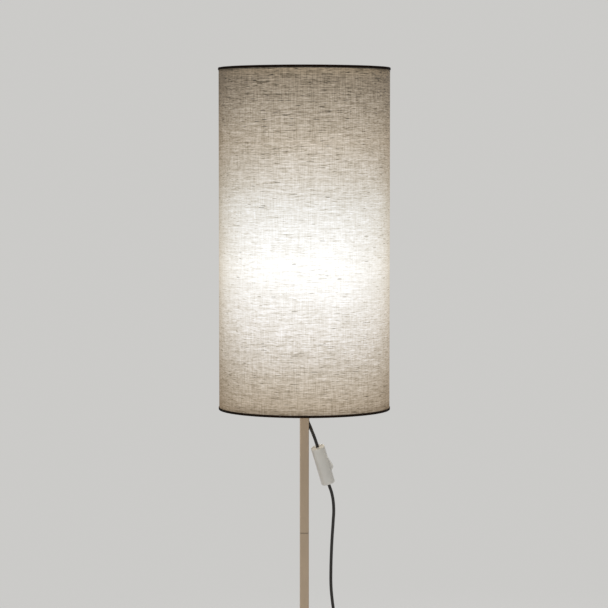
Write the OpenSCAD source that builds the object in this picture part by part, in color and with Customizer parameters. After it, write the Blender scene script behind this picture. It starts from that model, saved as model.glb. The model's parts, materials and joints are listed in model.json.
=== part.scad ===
// Column floor lamp: a tall round linen shade on a slim square column, with an in-line
// rocker switch that hangs on the cord just under the shade.
// Millimetres, +Z up. The origin is on the floor under the centre of the foot.

/* [Foot] */
// Side of the square steel plate
base_side = 260; // [220:5:320]
// Thickness of the plate
base_t = 8; // [8:0.5:14]
// Radius of the plate's corners
base_corner_r = 12; // [4:1:30]
// Bevel round the plate's upper edge
base_bevel = 1; // [0.5:0.25:2]
// Depth of the square seat that keeps the column from turning
seat_depth = 1; // [0.5:0.25:2]
// Diameter of each rubber pad
pad_d = 20; // [12:1:30]
// How far each pad stands out under the plate
pad_proud = 2; // [1:0.5:4]
// Depth of the recess that holds each pad
pad_recess = 1; // [0.5:0.25:2]
// Distance from a pad's centre to the plate's edges
pad_inset = 26; // [20:1:50]
// Diameter of the bolt that holds the column
bolt_d = 8; // [6:0.5:9]
// Length of the bolt under its head
bolt_len = 24; // [18:1:28]
// Diameter of the bolt's low head
bolt_head_d = 14; // [12:0.5:16]
// Height of the bolt's low head
bolt_head_h = 3; // [2.5:0.25:3.25]
// Diameter of the washer under the head
washer_d = 18; // [17:0.5:24]
// Thickness of the washer
washer_t = 1; // [0.5:0.1:1.2]

/* [Column] */
// Side of the square tube
pole_side = 16; // [15:0.5:20]
// Wall of the square tube
pole_wall = 1.2; // [1:0.1:1.5]
// Outer radius of the tube's corners
pole_corner_r = 1.6; // [1.6:0.1:2.4]
// Length of each of the three tube sections
section_len = 360; // [340:5:420]
// Height of the shadow gap between two sections
seam_gap = 1; // [0.6:0.1:2]
// How far the collar in that gap is set back from the tube's faces
seam_recess = 0.6; // [0.3:0.1:1]
// Length of each block or spigot inside a tube's end
plug_len = 32; // [30:1:50]
// Gap all round between a spigot and the section that slides over it
slide_fit = 0.15; // [0.05:0.05:0.3]
// Bevel at the leading end of each block and spigot
lead_in = 1.5; // [0.5:0.25:3]
// Diameter of the set screw that locks a section on its spigot
grub_d = 5; // [3:0.5:6]
// Height of the set screw above the seam
grub_rise = 14; // [8:1:20]

/* [Cord outlet] */
// How far the outlet's middle lies below the top of the column
outlet_drop = 165; // [150:1:180]
// Width of the outlet hole in the column's right face
outlet_w = 8.6; // [8.4:0.1:9]
// Height of the outlet hole
outlet_h = 24; // [23:0.5:28]
// Thickness of the rubber lining inside the hole
lining_t = 0.9; // [0.6:0.1:1]
// How far the lining's lips reach past the hole's edge
lip_reach = 1.2; // [0.8:0.1:1.8]
// Thickness of the lining's lips
lip_t = 0.7; // [0.4:0.1:1]

/* [Column head] */
// Thickness of the flange on top of the column
head_flange_t = 2; // [1.5:0.25:4]
// Length of the head's plug inside the tube
head_plug_len = 14; // [10:1:25]
// Diameter of the hollow threaded tube that carries the lampholder
nipple_d = 10; // [9:0.5:10]
// Bore of that tube
nipple_bore = 7.2; // [6.5:0.1:7.5]
// Length of that tube inside the lampholder
nipple_rise = 8; // [6:0.5:10]

/* [Lampholder] */
// Diameter of the lampholder's threaded sleeve
holder_d = 39.5; // [38:0.5:42]
// Height of the lampholder's lower cap
holder_cap_h = 20; // [20:0.5:23]
// Height of the sleeve above the cap
holder_sleeve_h = 35; // [34:0.5:42]
// Wall of cap and sleeve
holder_wall = 1.8; // [1.4:0.1:2.4]
// Diameter of the cap's flat foot
holder_foot_d = 20; // [17:0.5:24]
// Thickness of the insulating core
holder_core_t = 10; // [8:0.5:12]
// Width of the rim where cap and sleeve meet, past the sleeve
holder_rim = 2; // [1:0.25:3]
// Height of that rim
holder_rim_h = 3; // [2:0.25:4]
// Outer diameter of the two shade nuts
nut_d = 54; // [50:1:60]
// Height of each shade nut
nut_h = 6; // [5:0.5:7]
// Number of finger grooves round each shade nut
nut_grooves = 16; // [8:1:24]

/* [Bulb] */
// Diameter of the bulb
bulb_d = 60; // [50:1:70]
// Length of the bulb from its contact to the top of the glass
bulb_len = 104; // [98:1:120]
// Thickness of the bulb's glass
bulb_glass_t = 0.8; // [0.6:0.1:1.2]
// Diameter over the crests of the bulb's thread
thread_d = 26.4; // [25.5:0.1:26.8]
// Pitch of the thread
thread_pitch = 3.6; // [3:0.1:4]
// Depth of the thread
thread_depth = 1; // [0.6:0.1:1.2]
// Gap between the bulb's thread and the lampholder's
thread_gap = 0.15; // [0.1:0.05:0.3]
// Number of light-giving rods in the bulb
filaments = 4; // [2:1:6]

/* [Shade] */
// Diameter of the linen
shade_d = 300; // [280:5:340]
// Height over both tapes
shade_h = 600; // [500:10:700]
// Height of the shade carrier above the shade's lower rim
shade_drop = 175; // [150:5:200]
// Thickness of the linen
linen_t = 0.6; // [0.4:0.1:1]
// Thickness of the stiff lining that the linen is laminated to
liner_t = 0.4; // [0.3:0.1:0.8]
// Width of the overlap where the linen's ends meet, at the back
linen_lap = 12; // [8:1:20]
// Height of the tape on the outside
tape_h = 3.5; // [3:0.25:10]
// Thickness of the tape
tape_t = 1; // [0.6:0.1:1.5]
// Diameter of the wire in both rings
ring_wire_d = 3.5; // [3:0.25:5]
// Diameter of the wire in the carrier's arms
arm_wire_d = 3.2; // [2.5:0.1:4]
// Number of carrier arms
arms = 3; // [3:1:4]
// Diameter of the carrier's pressed hub
hub_d = 74; // [70:1:80]
// Thickness of the hub
hub_t = 1.5; // [1:0.25:2.5]
// How far welded wires sink into what they are welded to
weld = 0.3; // [0.2:0.05:0.5]

/* [Switch] */
// Diameter of the switch's tube
switch_d = 24.5; // [23.5:0.1:27]
// Length of the switch
switch_len = 70; // [68:0.5:80]
// Wall of the tube
switch_wall = 1.8; // [1.4:0.1:2]
// Thickness of each end disc
switch_end_t = 3; // [2:0.25:4]
// Round-over of the switch's ends
switch_edge = 0.8; // [0.4:0.1:1.2]
// Sideways lean of the hanging switch, in degrees
lean_side = 16.1; // [14:0.1:18]
// Lean of the hanging switch away from its outlet, in degrees
lean_back = 13.4; // [11:0.1:16]
// Length of the rocker's face
rocker_len = 19.5; // [17:0.25:21]
// Width of the rocker
rocker_w = 9; // [7:0.25:9.5]
// How far the level rocker stands out of the tube
rocker_stand = 2.5; // [2:0.1:3]
// Tilt of the rocker from level, either way, in degrees
rocker_tilt = 15; // [12:0.5:16]
// Distance of the rocker's pivot from the tube's axis
rocker_pivot = 5; // [4.5:0.1:5.5]
// Gap round the rocker in its slot
rocker_gap = 0.3; // [0.2:0.05:0.5]
// Diameter of the rocker's trunnions
trunnion_d = 3; // [2:0.1:3.4]
// Tilt of the contact lever from level, either way, in degrees
lever_tilt = 8; // [5:0.5:9]

/* [Cord] */
// Diameter of the cord
cord_d = 5.5; // [5:0.1:5.8]
// Outer radius of the put-away coil, at the middle of the cord
coil_r = 40; // [38:0.5:44]
// Step from one turn of the coil to the next
coil_pitch = 6.1; // [6.1:0.1:6.6]
// Turns in each of the coil's two layers
coil_turns = 2.7; // [2.2:0.1:2.7]

/* [Plug] */
// Width of the plug's body at its face
plug_w = 35.3; // [32:0.1:37]
// Thickness of the plug's body
plug_t = 13.7; // [12:0.1:15]
// Length of the plug's body
plug_body_len = 34; // [30:0.5:40]
// Length of the tapered strain relief
relief_len = 26; // [20:1:40]
// Diameter of the plug's pins
pin_d = 4; // [3.8:0.1:4.8]
// Length of the pins
pin_len = 19; // [18:0.5:19.5]
// Distance between the pins
pin_pitch = 18.6; // [17.5:0.1:19.2]
// Length of the insulating sleeve on each pin
sleeve_len = 10; // [8:0.5:11]
// How far each sleeve lies below the pin's own surface
sleeve_step = 0.2; // [0.2:0.05:0.3]

/* [Hidden] */
$fn = 64;

// Colours
BRONZE = [0.62, 0.52, 0.42];
LINEN = [0.86, 0.81, 0.70];
BLACK = [0.10, 0.08, 0.07];
CORD = [0.13, 0.11, 0.10];
WHITE = [0.93, 0.92, 0.89];
STEEL = [0.70, 0.71, 0.73];
BRASS = [0.80, 0.66, 0.35];
OPAL = [0.98, 0.97, 0.93];

// How far a cutter runs past the face it cuts, and the two small clearances in use
past = 1;
running = 0.05;
loose = 0.3;

// Heights up the lamp
base_top = pad_proud + base_t;
bore_depth = bolt_head_h + washer_t + loose;
column_foot = base_top - seat_depth;
section_z = [for (i = [0:2]) column_foot + i * (section_len + seam_gap)];
column_top = section_z[2] + section_len;
outlet_z = column_top - outlet_drop;
holder_z = column_top + head_flange_t;

// Across the column
pole_half = pole_side / 2;
pole_in = pole_side - 2 * pole_wall;
corner_cut = max(pole_corner_r - pole_wall, 0) + 0.4;

// Lampholder, shade and bulb, up from the lampholder's foot
sleeve_z = holder_z + holder_cap_h;
core_z = sleeve_z + holder_core_t;
nut_z = sleeve_z + holder_rim_h + 3;
hub_z = nut_z + nut_h;
tongue_h = 4;
bulb_z = core_z + tongue_h;
tip_h = 4;
thread_turns = 4.5;
thread_top = bulb_z + tip_h + thread_turns * thread_pitch;
cap_wall = 0.3;
neck_r = thread_d / 2 - 0.1;
skirt_h = 5;
glass_z = thread_top + 0.8;
stem_r = 2;
globe_z = bulb_z + bulb_len - bulb_d / 2;
shade_z = hub_z - shade_drop;
linen_r = shade_d / 2;
liner_r = linen_r - linen_t;
ring_r = liner_r - liner_t - ring_wire_d / 2;
ring_inset = tape_t + ring_wire_d / 2;

// In the switch, where local z runs up its axis and local x points at the rocker
switch_top = [23.5, -3, 883];
switch_in = switch_d / 2 - switch_wall;
rocker_h = switch_d / 2 + rocker_stand - rocker_pivot;
rocker_r = norm([rocker_len / 2, rocker_h]);
rocker_wedge = 75;
hub_r = trunnion_d / 2 + 1.6;
ear_t = 2;
ear_y = rocker_w / 2 + rocker_gap;
floor_x = -4.2;
strip_t = 0.4;
rivet_d = 2.4;
rivet_h = 0.6;
contact_gap = 0.03;
lever_t = 0.4;
lever_half = 7;
lever_w = 5;
fulcrum_r = 0.7;
fulcrum_x = floor_x + strip_t + rivet_h * cos(lever_tilt) + lever_half * sin(lever_tilt) + contact_gap;
plunger_d = 2;
nose_r = 0.4;
nose_len = 1.4;
plunger_rear = 1;
pocket_end = rocker_h * 0.6;
spring_wire = 0.3;
spring_turns = 5;
clamp_z = 12;
clamp_w = 4;
clamp_y = 6;
clamp_t = 2.5;
cord_bite = 0.2;
grip = 16;
terminal_z = 13;
terminal_side = 5;
terminal_h = 5;
core_d = 2.2;
core_play = 0.2;
core_y = 1.3;
core_bite = 0.3;

// Cord routes: points on its middle line, chosen by hand
INNER_ROUTE = [
  [0, 0, holder_z + 5], [0, 0, holder_z - 13], [-1.2, 0, 1010], [-2, 0, 985],
  [-2.4, 0, 962], [-0.9, 0, 945], [2.2, 0, 935.5], [5.7, 0, 929], [8, 0, 924]
];
UPPER_ROUTE = [
  [8, 0, 924], [10.3, 0, 919], [13.5, -2.3, 911], [17, -4.4, 902.5], [20.4, -4.8, 893],
  [23.5, -3, 883], [27.8, 0.7, 868]
];
LOWER_ROUTE = [
  [38.1, 9.5, 832.5], [42.4, 13.2, 817.6], [49.3, 18, 795.5], [52.2, 21, 771],
  [51.2, 23, 745], [49.4, 24.5, 717], [48.1, 26, 688], [47.4, 28, 659],
  [47.6, 30.5, 630], [50, 34, 602], [54, 39, 573], [58, 45, 543], [62.5, 51, 513],
  [67, 58, 483], [71, 65, 453], [75, 72, 423], [79, 79, 393], [82.5, 86, 363],
  [86, 93, 333], [89, 99, 303], [91.5, 105, 273], [94, 111, 243], [96, 116, 213],
  [97.5, 121, 183], [98.5, 126, 153], [99.5, 131, 123], [100, 136, 94], [100, 141, 66],
  [100, 147, 40], [100, 156, 18], [100, 169, 6]
];
LEAD_ROUTE = [
  [16, 204.5, 6], [7, 197.5, 3.8], [-5, 193, 3], [-18, 191.5, 3.4], [-30, 191.5, 5.2]
];
coil_at = [60, 195];
plug_at = [-48, 191.5];
coil_layer = 6.1;
coil_steps = 24;
coil_sides = 6;
cord_sides = 10;
climb = 0.25;

// ---------------------------------------------------------------- helper functions

// Points along an arc
function arc(centre, r, from, to, steps = 8) =
  [for (i = [0:steps]) let (a = from + (to - from) * i / steps) centre + r * [cos(a), sin(a)]];

// Direction of a vector
function unit(v) = v / norm(v);

// Direction of a line of points at point i
function along(points, i) =
  unit(points[min(i + 1, len(points) - 1)] - points[max(i - 1, 0)]);

// One point of a smooth curve through b and c, with neighbours a and d
function between(a, b, c, d, t) =
  0.5 * (2 * b + (c - a) * t + (2 * a - 5 * b + 4 * c - d) * t * t
    + (3 * b - a - 3 * c + d) * t * t * t);

// A smooth curve through hand-chosen points, with so many steps from one to the next
function smooth(points, steps) =
  let (last = len(points) - 1)
  [for (i = [0:last - 1], k = [0:steps - 1])
     between(
       i > 0 ? points[i - 1] : 2 * points[0] - points[1], points[i], points[i + 1],
       i < last - 1 ? points[i + 2] : 2 * points[last] - points[last - 1], k / steps),
   points[last]];

// A direction square to t, carried on from the last one
function carried(n, t) = unit(n - (n * t) * t);

// Directions square to a line of points, none twisted against the next
function normals(points, start) = [
  for (i = 0, n = carried(start, along(points, 0)); i < len(points);
    i = i + 1, n = i < len(points) ? carried(n, along(points, i)) : n) n
];

// Length of a line of points
function run(points, i = 1) = i < len(points) ? norm(points[i] - points[i - 1]) + run(points, i + 1) : 0;

// A round tube along a line of points
module tube(points, d, sides, start = [0, 1, 0]) {
  n = normals(points, start);
  rings = len(points);
  skin = [for (i = [0:rings - 1], k = [0:sides - 1])
    let (t = along(points, i), a = 360 * k / sides)
    points[i] + d / 2 * (cos(a) * n[i] + sin(a) * cross(t, n[i]))];
  walls = [for (i = [0:rings - 2], k = [0:sides - 1])
    let (a = i * sides + k, b = i * sides + (k + 1) % sides)
    each [[a, a + sides, b], [b, a + sides, b + sides]]];
  first = [for (k = [0:sides - 1]) k];
  last = [for (k = [0:sides - 1]) rings * sides - 1 - k];
  polyhedron(points = skin, faces = concat([first], walls, [last]));
}

// A square with round corners
module rounded_square(side, r) {
  for (turn = [0, 90]) rotate(turn) square([side, side - 2 * r], center = true);
  for (x = [-1, 1], y = [-1, 1]) translate([x, y] * (side / 2 - r)) circle(r, $fn = 32);
}

// A square with cut corners, which clears a tube's inner corners
module cut_square(side, cut) {
  h = side / 2;
  polygon([
    [h - cut, -h], [h, -h + cut], [h, h - cut], [h - cut, h],
    [cut - h, h], [-h, h - cut], [-h, cut - h], [cut - h, -h]
  ]);
}

// A square block that fits inside a tube, bevelled at its upper end
module tube_block(side, length) {
  linear_extrude(length - lead_in) cut_square(side, corner_cut);
  hull() {
    translate([0, 0, length - lead_in]) linear_extrude(0.01) cut_square(side, corner_cut);
    translate([0, 0, length - 0.01])
      linear_extrude(0.01) cut_square(side - 2 * lead_in / 2, corner_cut);
  }
}

// One section of the square tube, with a hole at the back for a set screw if asked
module tube_section(screw_hole) {
  difference() {
    linear_extrude(section_len) difference() {
      rounded_square(pole_side, pole_corner_r);
      rounded_square(pole_in, pole_corner_r - pole_wall);
    }
    if (screw_hole) translate([0, 0, grub_rise]) rotate([-90, 0, 0]) cylinder(pole_side, d = grub_d + loose);
  }
}

// A slot with round ends, standing up along y
module oblong(w, h) {
  square([w, h - w], center = true);
  for (end = [-1, 1]) translate([0, end * (h - w) / 2]) circle(d = w);
}

// Places what is drawn along the switch's axis
module at_switch() {
  translate(switch_top) rotate([lean_back, -lean_side, 0]) translate([0, 0, -switch_len]) children();
}

// Places what is drawn about the rocker's pivot, x away from the tube and y up it
module at_pivot(turn = 0) {
  at_switch() translate([rocker_pivot, 0, switch_len / 2]) rotate([0, turn, 0]) rotate([90, 0, 0]) children();
}

// ---------------------------------------------------------------- foot

module base_plate() {
  color(BRONZE) difference() {
    translate([0, 0, pad_proud]) hull() {
      linear_extrude(base_t - base_bevel) rounded_square(base_side, base_corner_r);
      linear_extrude(base_t) rounded_square(base_side - 2 * base_bevel, base_corner_r - base_bevel);
    }
    translate([0, 0, column_foot])
      linear_extrude(seat_depth + past) rounded_square(pole_side + 2 * slide_fit, pole_corner_r);
    translate([0, 0, pad_proud - past]) cylinder(bore_depth + past, d = washer_d + loose);
    cylinder(base_top + past, d = bolt_d + loose);
    at_pads() cylinder(pad_proud + pad_recess, d = pad_d);
  }
}

module at_pads() {
  reach = base_side / 2 - pad_inset;
  for (x = [-1, 1], y = [-1, 1]) translate([x * reach, y * reach, 0]) children();
}

module base_pads() {
  color(BLACK) at_pads() rotate_extrude() polygon([
    [0, 0], [pad_d / 2 - 0.8, 0], [pad_d / 2, 0.8], [pad_d / 2, pad_proud + pad_recess],
    [0, pad_proud + pad_recess]
  ]);
}

module base_bolt() {
  seat_z = pad_proud + bore_depth - washer_t;
  socket = bolt_d * 0.6;
  color(STEEL) difference() {
    union() {
      translate([0, 0, seat_z - bolt_head_h]) cylinder(bolt_head_h, d = bolt_head_d);
      translate([0, 0, seat_z]) cylinder(bolt_len, d = bolt_d);
    }
    translate([0, 0, seat_z - bolt_head_h - past])
      cylinder(bolt_head_h * 0.7 + past, d = socket, $fn = 6);
  }
}

module base_washer() {
  color(STEEL) translate([0, 0, pad_proud + bore_depth - washer_t]) difference() {
    cylinder(washer_t, d = washer_d);
    translate([0, 0, -past]) cylinder(washer_t + 2 * past, d = bolt_d + loose);
  }
}

// ---------------------------------------------------------------- column

module foot_plug() {
  thread_end = pad_proud + bore_depth - washer_t + bolt_len + 2;
  color(STEEL) difference() {
    translate([0, 0, column_foot]) tube_block(pole_in, plug_len);
    cylinder(thread_end, d = bolt_d);
  }
}

module lower_pole() {
  color(BRONZE) translate([0, 0, section_z[0]]) tube_section(false);
}

module middle_pole() {
  color(BRONZE) translate([0, 0, section_z[1]]) tube_section(true);
}

module upper_pole() {
  color(BRONZE) difference() {
    translate([0, 0, section_z[2]]) tube_section(true);
    at_outlet() linear_extrude(2 * pole_wall, center = true) oblong(outlet_w, outlet_h);
  }
}

// Spigot between two sections: pressed into the lower one, slid into the upper one
module joiner(seam_z) {
  color(STEEL) translate([0, 0, seam_z]) difference() {
    union() {
      mirror([0, 0, 1]) tube_block(pole_in, plug_len);
      linear_extrude(seam_gap) rounded_square(pole_side - 2 * seam_recess, pole_corner_r);
      translate([0, 0, seam_gap]) tube_block(pole_in - 2 * slide_fit, plug_len);
    }
    translate([0, 0, seam_gap + grub_rise]) rotate([-90, 0, 0]) cylinder(pole_half, d = grub_d);
  }
}

module lower_joiner() {
  joiner(section_z[1] - seam_gap);
}

module upper_joiner() {
  joiner(section_z[2] - seam_gap);
}

// Set screws that lock the middle and upper sections, flush with the back
module joiner_screws() {
  screw_len = pole_half - past;
  color(STEEL) for (i = [1, 2]) translate([0, pole_half, section_z[i] + grub_rise]) rotate([90, 0, 0])
    difference() {
      cylinder(screw_len, d = grub_d);
      translate([0, 0, -past]) cylinder(grub_d / 2 + past, d = grub_d / 2, $fn = 6);
    }
}

// Places what is drawn at the cord outlet, with z out of the column's right face
module at_outlet() {
  translate([pole_half - pole_wall / 2, 0, outlet_z]) rotate([90, 0, 90]) children();
}

module cord_grommet() {
  color(BLACK) at_outlet() difference() {
    union() {
      linear_extrude(pole_wall, center = true) oblong(outlet_w, outlet_h);
      for (side = [-1, 1]) translate([0, 0, side * (pole_wall + lip_t) / 2])
        linear_extrude(lip_t, center = true) oblong(outlet_w + 2 * lip_reach, outlet_h + 2 * lip_reach);
    }
    linear_extrude(pole_wall + 2 * lip_t + past, center = true)
      oblong(outlet_w - 2 * lining_t, outlet_h - 2 * lining_t);
  }
}

module pole_cap() {
  color(BRONZE) difference() {
    union() {
      translate([0, 0, column_top]) linear_extrude(head_flange_t) rounded_square(pole_side, pole_corner_r);
      translate([0, 0, column_top]) mirror([0, 0, 1]) tube_block(pole_in, head_plug_len);
    }
    translate([0, 0, column_top - head_plug_len - past])
      cylinder(head_plug_len + head_flange_t + 2 * past, d = nipple_d);
  }
}

module pole_nipple() {
  length = head_plug_len + head_flange_t + nipple_rise;
  color(BRASS) translate([0, 0, column_top - head_plug_len]) difference() {
    cylinder(length, d = nipple_d);
    translate([0, 0, -past]) cylinder(length + 2 * past, d = nipple_bore);
  }
}

// ---------------------------------------------------------------- lampholder

// Outline of the holder's cap, at a distance inside its outer face
function cap_outline(inside) =
  let (r = holder_d / 2 + holder_rim, foot = holder_foot_d / 2, shoulder = 8)
  concat(
    [[0, inside], [foot, inside]],
    arc([r - shoulder, 4 + shoulder], shoulder - inside, -60, 0),
    [[r - inside, holder_cap_h + (inside > 0 ? past : 0)], [0, holder_cap_h + (inside > 0 ? past : 0)]]
  );

module holder_cap() {
  color(BLACK) translate([0, 0, holder_z]) difference() {
    union() {
      difference() {
        rotate_extrude() polygon(cap_outline(0));
        rotate_extrude() polygon(cap_outline(holder_wall));
      }
      cylinder(nipple_rise - past, d = nipple_d + 2 * holder_wall);
    }
    translate([0, 0, -past]) cylinder(nipple_rise + past, d = nipple_d);
  }
}

module holder_body() {
  r = holder_d / 2;
  lip = 2.5;
  color(BLACK) translate([0, 0, sleeve_z]) difference() {
    rotate_extrude() polygon([
      [0, 0], [r + holder_rim, 0], [r + holder_rim, holder_rim_h - 0.8],
      [r + holder_rim - 0.8, holder_rim_h], [r, holder_rim_h], [r, holder_sleeve_h - 0.6],
      [r - 0.6, holder_sleeve_h], [0, holder_sleeve_h]
    ]);
    translate([0, 0, -past]) cylinder(holder_sleeve_h - holder_wall + past, r = r - holder_wall);
    cylinder(holder_sleeve_h + past, r = r - holder_wall - lip);
  }
}

module holder_core() {
  color(WHITE) translate([0, 0, sleeve_z]) difference() {
    cylinder(holder_core_t, r = holder_d / 2 - holder_wall);
    for (x = [-1, 1]) translate([x * 9, 0, -past]) cylinder(holder_core_t - 2, d = core_d + 1);
  }
}

// Radius of the Edison thread at a height above its foot
function thread_r(crest, z) = crest - thread_depth / 2 * (1 - cos(360 * z / thread_pitch));

// Outline points of the thread, upwards
function thread_line(crest, foot_z) =
  let (steps = 8 * thread_turns)
  [for (i = [0:steps]) let (z = i * thread_pitch / 8) [thread_r(crest, z), foot_z + z]];

// Points in the other order
function reversed(list) = [for (i = [len(list) - 1:-1:0]) list[i]];

module holder_thread() {
  wall = 0.4;
  inner = thread_d / 2 + thread_gap;
  rise = bulb_z + tip_h;
  color(BRASS) rotate_extrude() polygon(concat(
    [[inner - 3, core_z], [inner + wall, core_z]],
    thread_line(inner + wall, rise),
    reversed(thread_line(inner, rise)),
    [[inner, core_z + wall], [inner - 3, core_z + wall]]
  ));
}

module holder_tongue() {
  t = 0.6;
  w = 5;
  color(BRASS) translate([0, w / 2, core_z]) rotate([90, 0, 0]) linear_extrude(w) polygon([
    [-9, 0], [-5, 0], [1, tongue_h - t], [3, tongue_h - t], [3, tongue_h], [0.6, tongue_h],
    [-5.4, t], [-9, t]
  ]);
}

module at_holder_terminals() {
  for (x = [-1, 1]) translate([x * 9, 0, sleeve_z]) children();
}

module holder_terminals() {
  high = 7;
  deep = 6;
  color(BRASS) at_holder_terminals() difference() {
    translate([-terminal_side / 2, -deep / 2, -high]) cube([terminal_side, deep, high]);
    translate([0, 0, -high - past]) cylinder(high, d = core_d);
    translate([0, 0, -high / 2]) rotate([90, 0, 0]) cylinder(deep, d = rivet_d);
  }
}

// The two cores, from the end of the cord's sheath to the terminals
module holder_cores() {
  sheath_end = INNER_ROUTE[0].z - core_bite;
  over_nipple = holder_z + nipple_rise + core_d;
  color(CORD) for (side = [-1, 1]) tube([
    [side * core_y, 0, sheath_end], [side * core_y, 0, holder_z + nipple_rise - 1],
    [side * 3, 0, over_nipple], [side * 6, 0, over_nipple + 1], [side * 8.4, 0, over_nipple + 1.6],
    [side * 9, 0, sleeve_z - 6.2], [side * 9, 0, sleeve_z - 4]
  ], core_d - core_play, 8);
}

// A threaded ring with finger grooves
module shade_nut(z) {
  color(BLACK) translate([0, 0, z]) difference() {
    rotate_extrude() polygon([
      [holder_d / 2, 0], [nut_d / 2 - 0.8, 0], [nut_d / 2, 0.8], [nut_d / 2, nut_h - 0.8],
      [nut_d / 2 - 0.8, nut_h], [holder_d / 2, nut_h]
    ]);
    for (i = [1:nut_grooves]) rotate(i * 360 / nut_grooves) translate([nut_d / 2 + 1, 0, -past])
      cylinder(nut_h + 2 * past, r = 2, $fn = 24);
  }
}

module shade_nut_lower() {
  shade_nut(nut_z);
}

module shade_nut_upper() {
  shade_nut(hub_z + hub_t);
}

// ---------------------------------------------------------------- bulb

module bulb_cap() {
  foot = bulb_z + tip_h;
  crest = thread_d / 2;
  color(STEEL) rotate_extrude() polygon(concat(
    [[crest - 4, foot - cap_wall], [crest, foot - cap_wall]],
    thread_line(crest, foot),
    [[neck_r, glass_z], [neck_r, glass_z + skirt_h],
     [neck_r - cap_wall, glass_z + skirt_h], [neck_r - cap_wall, glass_z]],
    reversed(thread_line(crest - cap_wall, foot)),
    [[crest - 4, foot]]
  ));
}

module bulb_tip() {
  r = thread_d / 2 - 4;
  color(BRASS) rotate_extrude() polygon([
    [0, bulb_z], [3.5, bulb_z], [4.5, bulb_z + 0.8], [r, bulb_z + tip_h - 1], [r, bulb_z + tip_h],
    [0, bulb_z + tip_h]
  ]);
}

// Outline of the bulb's glass, at a distance inside its outer face
function glass_outline(inside) =
  let (
    r = bulb_d / 2, neck = neck_r - cap_wall, shoulder = glass_z + skirt_h + 2,
    reach = norm([neck, globe_z - shoulder]),
    lean = atan2(globe_z - shoulder, neck) - acos(r / reach)
  )
  concat(
    [[0, glass_z], [neck - inside, glass_z], [neck - inside, shoulder]],
    arc([0, globe_z], r - inside, -lean, 90, 24)
  );

module bulb_glass() {
  color(OPAL) difference() {
    rotate_extrude() polygon(glass_outline(0));
    rotate_extrude() translate([0, -0.01]) polygon(glass_outline(bulb_glass_t));
  }
}

module bulb_stem() {
  seat_r = neck_r - cap_wall - bulb_glass_t;
  rise = globe_z - 6 - glass_z;
  color(OPAL) translate([0, 0, glass_z]) rotate_extrude() polygon([
    [0, 0], [seat_r, 0], [seat_r, 2], [stem_r + 1.5, 11], [stem_r, 20], [stem_r, rise - 1],
    [stem_r - 1, rise], [0, rise]
  ]);
}

module bulb_filaments() {
  rod_d = 1.6;
  rod_len = 30;
  reach = 7;
  color(BRASS) for (i = [1:filaments]) rotate(i * 360 / filaments) {
    translate([reach, 0, globe_z - rod_len / 2]) cylinder(rod_len, d = rod_d);
    translate([stem_r, 0, globe_z - 10]) rotate([0, 90, 0]) cylinder(reach - stem_r, d = 0.6);
  }
}

// ---------------------------------------------------------------- shade

module shade_hub() {
  color(WHITE) translate([0, 0, hub_z]) difference() {
    cylinder(hub_t, d = hub_d);
    translate([0, 0, -past]) cylinder(hub_t + 2 * past, d = holder_d + loose);
  }
}

// Arms of bent wire, from under the hub out and down to the lower ring
module shade_arms() {
  low = shade_z + ring_inset;
  high = hub_z - arm_wire_d / 2 + weld;
  bend = 6;
  end_r = ring_r - ring_wire_d / 2 + weld;
  route = [
    [nut_d / 2 + 2, 0, high], [hub_d / 2 - 2, 0, high], [hub_d / 2 + bend / 2, 0, high - bend / 3],
    [hub_d / 2 + bend, 0, high - bend],
    [end_r - bend, 0, low + bend], [end_r - bend / 2, 0, low + bend / 3], [end_r, 0, low]
  ];
  color(STEEL) for (i = [1:arms]) rotate(90 + i * 360 / arms) tube(route, arm_wire_d, 12);
}

module wire_ring(z) {
  color(STEEL) translate([0, 0, z]) rotate_extrude() translate([ring_r, 0]) circle(d = ring_wire_d, $fn = 32);
}

module shade_lower_ring() {
  wire_ring(shade_z + ring_inset);
}

module shade_upper_ring() {
  wire_ring(shade_z + shade_h - ring_inset);
}

// The stiff sheet inside, and the linen laminated to it
module shade_liner() {
  color(WHITE) translate([0, 0, shade_z + tape_t]) linear_extrude(shade_h - 2 * tape_t) difference() {
    circle(liner_r);
    circle(liner_r - liner_t);
  }
}

module shade_linen() {
  lap_angle = linen_lap / linen_r * 180 / PI;
  color(LINEN) {
    translate([0, 0, shade_z + tape_t]) linear_extrude(shade_h - 2 * tape_t) difference() {
      circle(linen_r);
      circle(liner_r);
    }
    translate([0, 0, shade_z + tape_h]) rotate(90 - lap_angle / 2) rotate_extrude(angle = lap_angle)
      translate([linen_r - linen_t / 2, 0]) square([linen_t, shade_h - 2 * tape_h]);
  }
}

// Outline of the tape: up outside the linen, under the rim, and round the wire to the lining
function tape_outline() =
  let (
    wire = ring_wire_d / 2, centre = [ring_r, ring_inset], lining = liner_r - liner_t,
    steps = 12, from = 60, hug = wire / cos((180 - from) / steps), lip = hug * sin(from)
  )
  concat(
    [[linen_r + tape_t, tape_h]],
    arc([linen_r, tape_t], tape_t, 0, -90, 4),
    arc(centre, wire + tape_t, 270, 90, steps),
    [[lining, ring_inset + wire + tape_t], [lining, ring_inset + lip]],
    arc(centre, hug, from, 360 - from, steps),
    [[lining, ring_inset - lip], [lining, tape_t], [linen_r, tape_t], [linen_r, tape_h]]
  );

// Tape folded over the lower rim and round the wire ring
module rim_tape() {
  color(BLACK) rotate_extrude() polygon(tape_outline());
}

// The lower tape is slit where the arms reach the ring
module lower_tape() {
  slit = arm_wire_d + loose;
  difference() {
    translate([0, 0, shade_z]) rim_tape();
    for (i = [1:arms]) rotate(90 + i * 360 / arms)
      translate([ring_r - ring_wire_d, -slit / 2, shade_z + ring_inset - slit / 2])
        cube([ring_wire_d + loose, slit, ring_wire_d + slit]);
  }
}

module upper_tape() {
  translate([0, 0, shade_z + shade_h]) mirror([0, 0, 1]) rim_tape();
}

// ---------------------------------------------------------------- switch

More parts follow.
